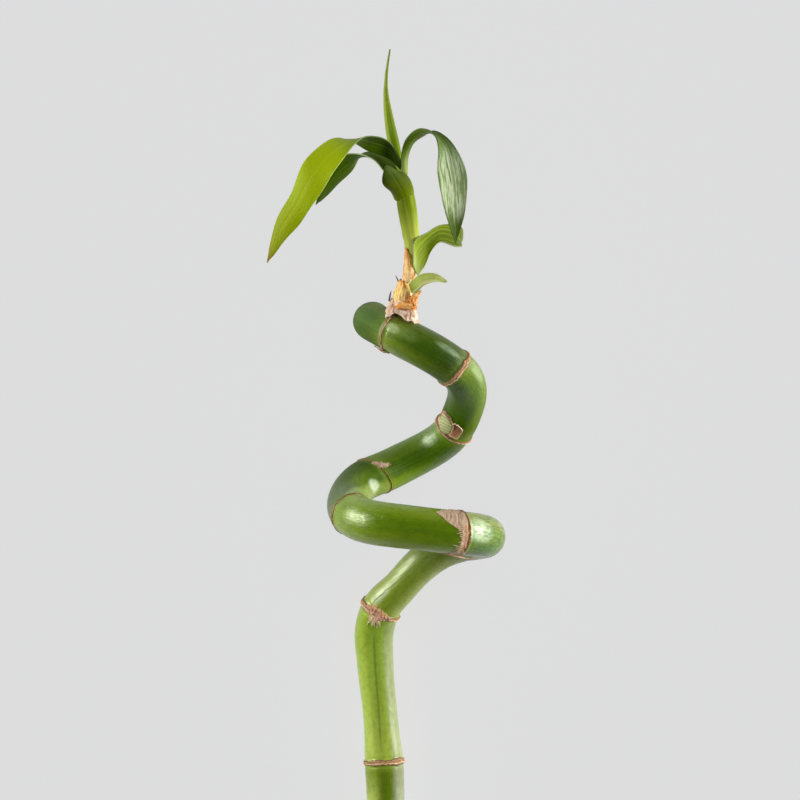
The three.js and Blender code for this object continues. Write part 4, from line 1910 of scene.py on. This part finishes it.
@dataclass
class Shoot:
    """The side shoot: its stem, its dry husk, its leaves and the bristles at its foot."""

    shop: Workshop
    blades: tuple[BladeForm, ...] = (
        BladeForm(
            "husk_collar",
            (
                (-11.2, 45.6, 42.5, 0.1, 44.7, 42.5, 4.6),
                (-11.0, 47.6, 42.5, 0.0, 46.6, 42.5, 4.4),
                (-9.6, 51.6, 43.0, -0.9, 50.6, 43.0, 3.4),
                (-8.5, 53.4, 43.2, -1.8, 52.3, 43.2, 2.9),
            ),
            140, 0.35, 2.5, across=80, steps=60, thickness=0.3, tip=0, ragged=0.6, arch=2.2, wrinkle=0.3,
        ),
        BladeForm(
            "husk_scale",
            (
                (-8.2, 51.8, 43.0, -1.8, 52.9, 43.0, 3.6),
                (-8.3, 53.9, 43.2, -1.9, 54.9, 43.2, 3.5),
                (-7.6, 56.3, 43.4, -2.3, 56.9, 43.4, 3.2),
                (-5.9, 59.6, 43.8, -4.4, 59.5, 43.8, 2.2),
            ),
            125, 0.2, 2, across=60, steps=40, thickness=0.25, tip=0, ragged=0.35, wrinkle=0.12,
        ),
        BladeForm(
            "husk_flap",
            (
                (-3.9, 49.6, 47.2, -0.3, 49.9, 45.0, 0.5),
                (-4.3, 51.4, 48.2, -0.2, 52.3, 45.6, 0.6),
                (-3.6, 53.1, 48.6, 0.1, 54.4, 45.8, 0.6),
                (-1.9, 54.3, 48.2, 0.6, 55.3, 45.8, 0.4),
                (0.1, 55.4, 47.0, 1.0, 56.1, 46.0, 0.1),
            ),
            30, 0.15, 1.5, across=40, steps=50, thickness=0.25, tip=0.1, ragged=0.55, wrinkle=0.3,
        ),
        BladeForm(
            "husk_sheath",
            (
                (-5.5, 59.3, 43.4, -1.6, 58.8, 43.4, 2.9),
                (-5.0, 61.3, 43.4, -0.7, 60.8, 43.4, 2.9),
                (-4.7, 63.6, 43.4, -0.7, 63.6, 43.4, 2.8),
                (-4.3, 68.7, 43.4, -2.0, 67.8, 43.4, 2.4),
                (-4.2, 70.5, 43.6, -3.1, 70.2, 43.6, 2.2),
            ),
            135, 0.1, 1.5, across=60, steps=60, thickness=0.25, tip=0, ragged=0.2, wrinkle=0.08,
        ),
        BladeForm(
            "leaf_small",
            (
                (-2.8, 58.0, 46.0, -1.9, 55.0, 47.0, 0.4),
                (-0.9, 60.0, 47.0, 0.1, 55.8, 48.0, 0.6),
                (1.6, 61.4, 48.0, 2.0, 57.6, 49.3, 0.7),
                (5.9, 61.4, 48.5, 5.9, 58.7, 49.8, 0.5),
                (9.9, 59.0, 47.3, 9.5, 58.5, 47.8, 0.0),
            ),
            40, 0.1, 1.5, across=20, steps=70,
        ),
        BladeForm(
            "leaf_front_hood",
            (
                (-7.5, 86.0, 45.2, -1.1, 86.4, 44.6, 2.2),
                (-8.8, 88.7, 47.2, -1.5, 90.0, 46.2, 2.0),
                (-11.7, 91.6, 51.8, -3.8, 94.4, 48.5, 1.2),
                (-11.4, 95.3, 54.5, -7.9, 96.2, 51.5, 0.4),
                (-10.7, 97.4, 55.0, -9.9, 97.3, 54.0, 0.0),
            ),
            80, 0.1, 1, across=40, steps=100, thickness=0.35, sink=1.2, sink_until=0.45,
        ),
        BladeForm(
            "leaf_lower_right",
            (
                (0.1, 60.9, 45.4, -1.4, 64.9, 46.9, 0.6),
                (2.6, 64.5, 44.0, -1.1, 72.1, 47.4, 1.3),
                (4.5, 69.4, 41.5, 3.5, 75.8, 41.0, 0.9),
                (7.7, 72.6, 38.0, 8.3, 78.7, 34.3, 0.8),
                (12.8, 71.3, 33.0, 14.7, 78.3, 25.5, 0.8),
                (15.2, 71.7, 25.5, 15.6, 74.9, 18.5, 0.5),
                (14.0, 72.0, 14.5, 14.2, 72.6, 13.5, 0.0),
            ),
            50, 0.15, 2.5, pleat=0.05,
        ),
        BladeForm(
            "leaf_right",
            (
                (-5.1, 95.3, 46.6, -3.5, 94.9, 45.0, 0.6),
                (-5.7, 100.5, 48.0, -3.3, 100.7, 45.4, 0.9),
                (-4.1, 105.9, 51.0, -1.5, 105.1, 47.4, 1.1),
                (0.2, 109.4, 56.5, 1.9, 107.5, 51.0, 1.0),
                (4.8, 107.6, 62.0, 5.7, 108.4, 55.5, 0.7),
                (6.7, 102.0, 64.5, 11.2, 104.6, 60.0, 1.0),
                (6.5, 94.0, 65.0, 15.7, 95.3, 61.5, 1.2),
                (8.4, 83.9, 63.5, 16.0, 84.5, 60.0, 1.1),
                (12.2, 71.1, 58.5, 12.8, 71.3, 57.8, 0.0),
            ),
            40, 0.2, 4, pleat=0.03, crease=0.05,
        ),
        BladeForm(
            "leaf_left_front",
            (
                (-5.8, 99.6, 47.0, -5.7, 96.4, 44.3, 0.5),
                (-9.6, 105.4, 50.5, -10.1, 100.2, 45.5, 0.9),
                (-15.9, 106.7, 57.0, -17.1, 102.5, 49.5, 1.0),
                (-20.9, 103.7, 63.0, -22.6, 105.8, 52.5, 0.8),
                (-26.6, 95.7, 67.5, -29.1, 105.3, 58.0, 0.9),
                (-32.2, 86.9, 68.0, -36.6, 99.0, 62.5, 1.1),
                (-38.5, 77.7, 66.5, -42.0, 86.9, 63.5, 1.0),
                (-44.1, 71.4, 64.5, -46.7, 78.1, 62.5, 0.7),
                (-49.4, 64.5, 62.5, -50.0, 64.7, 62.0, 0.0),
            ),
            40, 0.25, 5, steps=150, pleat=0.02, crease=0.06,
        ),
        BladeForm(
            "leaf_left_back",
            (
                (-6.9, 92.8, 43.6, -6.9, 98.8, 40.2, -0.3),
                (-11.3, 96.1, 41.5, -11.3, 102.6, 37.0, -0.6),
                (-14.4, 100.0, 39.5, -14.4, 103.2, 34.5, -0.7),
                (-19.4, 102.1, 36.5, -19.2, 102.5, 30.0, -0.7),
                (-25.2, 102.4, 33.5, -22.4, 97.4, 27.5, -0.8),
                (-30.9, 96.7, 31.0, -28.1, 91.9, 26.0, -0.7),
                (-34.2, 88.0, 29.0, -32.8, 87.3, 26.5, -0.3),
                (-34.9, 85.7, 28.0, -34.5, 85.9, 27.0, 0.0),
            ),
            40, 0.2, 3, pleat=0.02, crease=0.06,
        ),
    )
    fold: BladeForm = BladeForm(
        "husk_fold",
        (
            (-7.6, 50.9, 46.4, -7.3, 50.1, 46.6, 0.2),
            (-6.0, 51.6, 47.4, -5.6, 49.9, 47.4, 0.5),
            (-4.2, 52.3, 48.2, -3.7, 49.6, 47.6, 0.5),
            (-2.5, 52.2, 48.0, -1.5, 49.7, 47.0, 0.3),
        ),
        35, 0.15, 1.5, across=24, steps=36, thickness=0.22, tip=0, ragged=0.5, wrinkle=0.25,
    )
    stem: tuple[Row, ...] = (
        (-4.6, 45.6, 41.5, 2.0), (-5.3, 50.9, 42.8, 1.9), (-3.9, 59.6, 43.4, 1.35),
        (-2.9, 64.3, 43.4, 1.35), (-2.0, 71.0, 43.5, 2.45), (-2.8, 78.4, 43.7, 3.05),
        (-4.1, 87.4, 43.7, 3.1), (-4.9, 93.8, 43.2, 2.0), (-5.1, 95.2, 43.1, 1.2),
    )
    spear: tuple[Row, ...] = (
        (-5.5, 95.9, 42.5, 1.1), (-7.8, 104.7, 41.8, 1.95), (-9.5, 113.4, 42.1, 1.6),
        (-10.6, 122.8, 42.2, 0.85), (-10.4, 129.0, 42.2, 0.55), (-9.3, 137.1, 42.2, 0.3),
    )
    bristles: tuple[tuple[Row, ...], ...] = (
        ((-6.5, 59.1, 45.0, 0.22), (-7.0, 60.2, 45.5, 0.18), (-7.4, 61.1, 45.9, 0.06)),
        ((-5.9, 59.0, 45.3, 0.2), (-5.7, 59.7, 45.9, 0.14), (-5.6, 60.2, 46.3, 0.05)),
        ((-9.6, 52.6, 43.8, 0.3), (-9.3, 54.4, 44.7, 0.28), (-8.9, 56.0, 45.3, 0.08)),
    )

    def build(self, finishes: dict[str, Skin], bristle: bpy.types.Material) -> None:
        """Makes every piece of the shoot.

        Args:
            finishes: Each node's material and slot.
            bristle: The bristles' material.
        """
        stem = Stem(self.shop, "shoot_stem", self.stem, seams=((1.2, 0.6), (4.3, -0.5)), seam_step=0.05)
        spear = Stem(self.shop, "leaf_spear", self.spear, seams=((0.9, 1.2),), seam_step=0.2)
        for rolled in (stem, spear):
            rolled.build(*finishes[rolled.name])
        for form in self.blades:
            Blade(self.shop, form).build(*finishes[form.name], replaces=(form.name,))
        Blade(self.shop, self.fold).build(*finishes["husk_flap"], replaces=())
        for number, rows in enumerate(self.bristles):
            self.shop.finish(f"bristle_{number}", thread(rows), [bristle])


class Shows(Enum):
    """What a lamp shows on."""

    EVERYTHING = "everything"
    MATT = "matt"
    GLOSS = "gloss"


@dataclass(frozen=True)
class Softbox:
    """A soft lamp: how it lies from the middle of the plant, its size, its strength and what it shows on."""

    name: str
    tilt: float
    bearing: float
    distance: float
    width: float
    height: float
    power: float
    shows: Shows = Shows.MATT

    def build(self, aim: Vector, spared: bpy.types.Collection) -> None:
        """Makes the lamp and turns it to a point.

        Args:
            aim: The point, in metres.
            spared: The collection of what only the overhead lamp may light.
        """
        light = bpy.data.lights.new(self.name, "AREA")
        light.shape = "RECTANGLE"
        light.size = self.width
        light.size_y = self.height
        light.energy = self.power
        lamp = bpy.data.objects.new(self.name, light)
        tilt, bearing = math.radians(self.tilt), math.radians(self.bearing)
        out = Vector((math.sin(tilt) * math.cos(bearing), math.sin(tilt) * math.sin(bearing), math.cos(tilt)))
        lamp.location = aim + out * self.distance
        lamp.rotation_mode = "QUATERNION"
        lamp.rotation_quaternion = out.to_track_quat("Z", "Y")
        lamp.visible_glossy = self.shows is Shows.GLOSS
        lamp.visible_diffuse = self.shows is not Shows.GLOSS
        if self.shows is not Shows.EVERYTHING:
            lamp.light_linking.receiver_collection = spared
        bpy.context.scene.collection.objects.link(lamp)


@dataclass
class Studio:
    """The pale surface, the soft lamps and the camera, which looks straight down."""

    camera_x: float = -5.95
    camera_y: float = 19.38
    camera_z: float = 1161.0
    lens: float = 150.0
    clip_end: float = 10.0
    aim_height: float = 30.0
    floor_half: float = 1600.0
    floor_colour: Colour = shade(120, 120, 121)
    floor_light: Colour = shade(206, 206, 207)
    floor_glow: float = 1.12
    grain_scale: float = 900.0
    air: Colour = shade(236, 238, 240)
    air_strength: float = 0.05
    lamps: tuple[Softbox, ...] = (
        Softbox("left_softbox", 62, 172, 0.85, 0.5, 0.4, 8.0),
        Softbox("right_softbox", 80, 4, 0.85, 0.9, 0.3, 14.0),
        Softbox("overhead", 10, 90, 1.3, 1.5, 1.5, 3.3, Shows.EVERYTHING),
        Softbox("left_glint", 76, 160, 0.85, 0.5, 0.45, 7.5, Shows.GLOSS),
        Softbox("right_glint", 86, 10, 0.85, 0.5, 0.35, 5.0, Shows.GLOSS),
    )

    def _floor(self) -> bpy.types.Object:
        """Makes the pale surface.

        Returns:
            The surface.
        """
        mesh = bmesh.new()
        bmesh.ops.create_grid(mesh, x_segments=1, y_segments=1, size=self.floor_half * MM)
        data = bpy.data.meshes.new("studio_floor")
        mesh.to_mesh(data)
        mesh.free()
        floor = bpy.data.objects.new("studio_floor", data)
        bpy.context.scene.collection.objects.link(floor)
        coat = Coat("studio_paper")
        coat.colour = self.floor_colour
        fibre = coat.desk.noise(coat.desk.wire("ShaderNodeTexCoord", "Object"), self.grain_scale)
        inputs = {
            "Roughness": 0.9,
            "Specular IOR Level": 0.1,
            "Emission Color": self.floor_light,
            "Emission Strength": self.floor_glow,
        }
        data.materials.append(coat.finish(fibre, 0.02, 0.1, inputs))
        return floor

    def _air(self) -> None:
        """Makes the weak light that comes from all sides."""
        world = bpy.data.worlds.new("studio_air")
        world.use_nodes = True
        air = next(node for node in world.node_tree.nodes if node.type == "BACKGROUND")
        air.inputs["Color"].default_value = self.air
        air.inputs["Strength"].default_value = self.air_strength
        bpy.context.scene.world = world

    def _camera(self) -> None:
        """Makes the camera, unturned, so that it looks straight down."""
        view = bpy.data.cameras.new("camera")
        view.lens = self.lens
        view.clip_end = self.clip_end
        camera = bpy.data.objects.new("camera", view)
        camera.location = (self.camera_x * MM, self.camera_y * MM, self.camera_z * MM)
        bpy.context.scene.collection.objects.link(camera)
        bpy.context.scene.camera = camera
        bpy.context.scene.view_settings.view_transform = "Standard"

    def build(self) -> None:
        """Makes the surface, the lamps, the air's light and the camera."""
        spared = bpy.data.collections.new("unlit_by_lamps")
        spared.objects.link(self._floor())
        spared.collection_objects[0].light_linking.link_state = "EXCLUDE"
        for lamp in self.lamps:
            lamp.build(Vector((self.camera_x, self.camera_y, self.aim_height)) * MM, spared)
        self._air()
        self._camera()


def cane_finish(cane: Cane) -> CaneFinish:
    """Names the cane's colours from its foot to its tip.

    Args:
        cane: The cane, for its length, its rings and its furrow.

    Returns:
        Its finish.
    """
    ends = [*(ring.at for ring in cane.rings), cane.path.length]
    middles = (
        ((76, 96, 6), (78, 98, 6), (80, 100, 6)),
        ((92, 112, 8), (94, 114, 10), (90, 111, 5)),
        ((156, 174, 62), (141, 165, 52), (136, 167, 48)),
        ((129, 150, 41), (115, 136, 48), (106, 138, 26)),
        ((77, 105, 0), (88, 117, 0), (112, 142, 10)),
        ((48, 82, 0), (88, 112, 0), (54, 80, 4)),
        ((61, 89, 0), (54, 85, 0), (70, 103, 0)),
        ((56, 88, 0), (62, 95, 0), (90, 116, 2)),
        ((24, 44, 0), (53, 81, 0), (82, 109, 0)),
        ((80, 106, 52), (82, 108, 54), (76, 102, 46)),
    )
    # Flank colours, left and right of the upper side: painted light and shade.
    left_lighting = (
        ((112, 134, 24), (118, 140, 28), (120, 142, 30)),
        ((150, 172, 70), (186, 200, 96), (120, 142, 30)),
        ((172, 192, 76), (162, 185, 66), (140, 164, 36)),
        ((140, 154, 60), (102, 130, 34), (58, 106, 0)),
        ((100, 127, 20), (114, 137, 20), (126, 152, 4)),
        ((50, 78, 0), (60, 84, 0), (48, 74, 0)),
        ((90, 114, 18), (84, 112, 18), (92, 118, 30)),
        ((60, 88, 0), (56, 84, 0), (28, 62, 0)),
        ((56, 80, 0), (97, 119, 24), (108, 129, 26)),
        ((80, 102, 44), (68, 90, 24), (58, 82, 8)),
    )
    right_lighting = (
        ((130, 140, 90), (134, 144, 94), (136, 146, 96)),
        ((160, 168, 136), (166, 172, 142), (134, 140, 102)),
        ((162, 170, 122), (142, 152, 98), (132, 145, 82)),
        ((147, 161, 66), (138, 152, 80), (132, 150, 62)),
        ((110, 126, 34), (117, 146, 14), (134, 161, 28)),
        ((138, 160, 80), (150, 168, 82), (124, 142, 54)),
        ((114, 140, 4), (74, 104, 0), (55, 82, 0)),
        ((78, 96, 8), (102, 126, 16), (122, 138, 60)),
        ((54, 70, 18), (70, 90, 4), (96, 104, 34)),
        ((112, 126, 78), (98, 114, 62), (90, 108, 54)),
    )
    wrinkled = (
        (0.1, 0.1), (0.1, 0.2), (0.1, 0.1), (0.15, 1.0), (0.1, 0.4),
        (0.2, 0.4), (0.15, 0.25), (0.05, 0.4), (0.6, 0.3), (0.3, 0.3),
    )
    dull = (
        (0.3, 0.3), (0.3, 0.3), (0.3, 0.3), (0.1, 0.1), (0.1, 0.0),
        (0.3, 0.9), (0.6, 0.1), (0.9, 0.4), (0.5, 0.2), (0.0, 0.0),
    )
    parts = []
    for end, *colours, wrinkles, dullness in zip(ends, middles, left_lighting, right_lighting, wrinkled, dull):
        middle, left, right = (tuple(shade(*colour) for colour in row) for row in colours)
        parts.append(Internode(end, middle, left, right, wrinkles, dullness))
    return CaneFinish(cane.path.length, tuple(parts), waxed_from=ends[-2], furrow=cane.furrow)


def tissue_finishes(effects: SharedEffects) -> dict[Tissue, bpy.types.Material]:
    """Builds the dry tissue's materials.

    Args:
        effects: The shared node groups.

    Returns:
        A material for each kind of tissue.
    """
    dark, brown, tan, cream = shade(62, 32, 16), shade(122, 68, 38), shade(176, 128, 88), shade(226, 196, 150)
    light_band = (
        (0.06, dark), (0.16, brown), (0.32, cream), (0.44, tan), (0.52, dark), (0.6, brown), (0.74, tan),
        (0.94, dark),
    )
    dark_band = (
        (0.06, dark), (0.22, brown), (0.36, tan), (0.48, brown), (0.56, dark), (0.7, brown), (0.94, dark),
    )
    finishes = (
        TissueFinish(Tissue.BAND, light_band, light=cream, line=brown, rim=dark, rim_amount=0.4),
        TissueFinish(Tissue.DARK_BAND, dark_band, light=tan, line=dark, rim=dark, rim_amount=0.5),
        TissueFinish(
            Tissue.PAPER,
            stops((0.0, 196, 176, 116), (1.0, 226, 216, 168)),
            light=shade(240, 234, 206), line=shade(132, 92, 50), rim=shade(150, 116, 66),
        ),
        TissueFinish(
            Tissue.KNOT,
            (
                (0.0, brown),
                (0.16, shade(214, 166, 108)),
                (0.36, shade(160, 100, 70)),
                (0.58, shade(212, 162, 130)),
                (0.86, shade(226, 190, 150)),
                (1.0, brown),
            ),
            light=shade(244, 218, 184), line=shade(84, 44, 26), rim=cream, rim_from=0.86, rim_amount=0.5,
            line_amount=0.42,
        ),
        TissueFinish(
            Tissue.SCAR,
            stops((0.0, 146, 108, 80), (0.4, 168, 138, 110), (1.0, 186, 158, 130)),
            light=shade(206, 184, 156), line=shade(96, 62, 42), rim=shade(214, 190, 146),
            ripples=8, ripple_bend=-0.12, ripple_amount=0.3, rim_from=0.9, rim_amount=0.7, line_amount=0.65,
        ),
        TissueFinish(
            Tissue.BUD,
            stops((0.0, 150, 140, 84), (0.3, 146, 158, 96), (0.8, 160, 168, 106), (1.0, 172, 140, 92)),
            light=shade(208, 208, 158), line=shade(110, 104, 50), rim=shade(120, 70, 40),
            ripples=7, ripple_bend=0.16, rim_from=0.8, rim_amount=0.7,
        ),
        TissueFinish(
            Tissue.HOLLOW,
            stops((0.0, 176, 128, 88), (0.45, 132, 82, 50), (1.0, 104, 58, 34)),
            light=shade(190, 144, 100), line=shade(72, 38, 20), rim=shade(238, 210, 168),
            rim_from=0.82, rim_amount=0.95,
        ),
        TissueFinish(
            Tissue.BRISTLE,
            stops((0.0, 84, 88, 72), (1.0, 66, 60, 54)),
            light=shade(130, 130, 118), line=shade(48, 40, 36), rim=shade(60, 50, 44),
        ),
    )
    return {finish.kind: finish.material(effects) for finish in finishes}


def shoot_finishes(effects: SharedEffects) -> dict[str, Skin]:
    """Builds the shoot's materials.

    Args:
        effects: The shared node groups.

    Returns:
        Each node's material and slot.
    """
    leaves = (
        LeafFinish(
            "shoot_stem", "stem_skin", Slot.SHOOT,
            stops(
                (0.0, 200, 180, 110), (0.38, 206, 212, 116), (0.6, 168, 178, 66), (0.75, 116, 134, 14),
                (1.0, 98, 118, 8),
            ),
            shade(180, 190, 90), 0.3, midrib=0.0, dark=shade(70, 88, 6), vein_dark=0.35,
        ),
        LeafFinish(
            "leaf_spear", "spear_skin", Slot.LEAF_LIGHT,
            stops(
                (0.0, 134, 150, 50), (0.12, 104, 128, 4), (0.3, 84, 112, 0), (0.5, 102, 122, 10),
                (0.8, 120, 134, 56), (1.0, 84, 96, 20),
            ),
            shade(154, 170, 70), 0.35, midrib=0.0, far_side=shade(146, 164, 56), dark=shade(50, 74, 4),
        ),
        LeafFinish(
            "leaf_small", "small_leaf_skin", Slot.LEAF_STRIPED,
            stops(
                (0.0, 104, 120, 24), (0.16, 146, 162, 60), (0.5, 176, 186, 92), (1.0, 120, 128, 76),
            ),
            shade(222, 220, 166), 0.55, dark=shade(96, 116, 30),
        ),
        LeafFinish(
            "leaf_lower_right", "striped_leaf_skin", Slot.LEAF_STRIPED,
            stops(
                (0.0, 176, 186, 110), (0.12, 132, 148, 44), (0.28, 84, 102, 0), (0.6, 76, 94, 0),
                (1.0, 76, 94, 0),
            ),
            shade(156, 168, 36), 0.3, dark=shade(46, 66, 0), vein_dark=0.4, margin_amount=0.35,
        ),
        LeafFinish(
            "leaf_front_hood", "hood_skin", Slot.LEAF_DARK,
            stops(
                (0.0, 112, 128, 14), (0.22, 98, 116, 8), (0.4, 84, 100, 12), (0.7, 62, 78, 14),
                (1.0, 66, 84, 24),
            ),
            shade(98, 114, 30), 0.15, midrib=0.0, dark=shade(36, 52, 2),
        ),
        LeafFinish(
            "leaf_right", "right_leaf_skin", Slot.LEAF_STRIPED,
            stops(
                (0.0, 150, 166, 90), (0.14, 84, 106, 22), (0.4, 76, 98, 20), (0.55, 108, 132, 76),
                (0.76, 136, 154, 104), (0.88, 70, 90, 24), (1.0, 56, 76, 6),
            ),
            shade(196, 206, 170), 0.8, dark=shade(36, 52, 10), vein_dark=0.3, streak_length=0.1,
            streak_from=0.25, streak_base=0.45, margin=shade(90, 112, 60), margin_width=0.3,
            margin_amount=0.5,
        ),
        LeafFinish(
            "leaf_left_front", "long_leaf_skin", Slot.LEAF_LIGHT,
            stops(
                (0.0, 36, 60, 0), (0.2, 54, 80, 0), (0.29, 104, 128, 4), (0.4, 156, 176, 6),
                (0.7, 142, 160, 4), (0.93, 126, 136, 6), (1.0, 120, 90, 30),
            ),
            shade(168, 182, 60), 0.06, dark=shade(70, 92, 0), vein_dark=0.14, margin_amount=0.3,
        ),
        LeafFinish(
            "leaf_left_back", "back_leaf_skin", Slot.LEAF_DARK,
            stops(
                (0.0, 50, 68, 4), (0.3, 60, 80, 16), (0.6, 60, 84, 0), (1.0, 50, 74, 0),
            ),
            shade(90, 112, 40), 0.2, dark=shade(26, 44, 0),
        ),
    )
    husks = (
        HuskFinish(
            "husk_collar", "collar_husk",
            stops((0.0, 214, 190, 168), (0.5, 214, 186, 158), (1.0, 226, 184, 148)), shade(196, 146, 112),
            stain_amount=0.65, pale_amount=0.5, vein_amount=0.65, slot=Slot.HUSK_PALE,
        ),
        HuskFinish(
            "husk_scale", "gold_husk",
            stops((0.0, 240, 200, 140), (0.5, 252, 214, 120), (1.0, 240, 164, 60)), shade(236, 178, 92),
            stain_amount=0.5, pale_amount=0.25,
        ),
        HuskFinish(
            "husk_flap", "orange_husk",
            stops((0.0, 226, 142, 40), (0.5, 240, 174, 92), (1.0, 204, 164, 84)), shade(206, 116, 34),
            pale=shade(246, 216, 184), stain_amount=0.65, pale_amount=0.6, vein_amount=0.6,
        ),
        HuskFinish(
            "husk_sheath", "sheath_husk",
            stops((0.0, 240, 206, 150), (0.5, 234, 186, 104), (1.0, 222, 152, 52)), shade(200, 124, 50),
            pale=shade(248, 224, 170), stain_amount=0.55, pale_amount=0.45, vein_amount=0.5,
        ),
    )
    return {finish.node: (finish.material(effects), finish.slot) for finish in (*leaves, *husks)}


def main(record: dict) -> None:
    """Builds the dressed plant and the studio round it.

    Args:
        record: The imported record, for the log.
    """
    logging.basicConfig(level=logging.INFO, format="%(message)s")
    LOG.info("dressing %s", record.get("type", "the part"))
    effects = SharedEffects()
    shop = Workshop()
    cane = Cane(shop)
    foot = CutFinish("foot_cut", shade(176, 186, 120), shade(136, 150, 84))
    head = CutFinish("head_cut", shade(96, 134, 70), shade(74, 112, 56))
    cane.build(cane_finish(cane).material(effects), foot.material(), head.material())
    tissues = tissue_finishes(effects)
    remains = RingTissue(shop, cane, tissues)
    remains.build()
    bud = SideBud(shop, cane, remains)
    bud.build_bud(tissues[Tissue.BUD])
    bud.build_scale(tissues[Tissue.HOLLOW])
    Shoot(shop).build(shoot_finishes(effects), tissues[Tissue.BRISTLE])
    Studio().build()
    LOG.info("%d pieces", len(shop.pieces))


if __name__ == "__main__":
    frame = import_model()
    main(frame["record"])
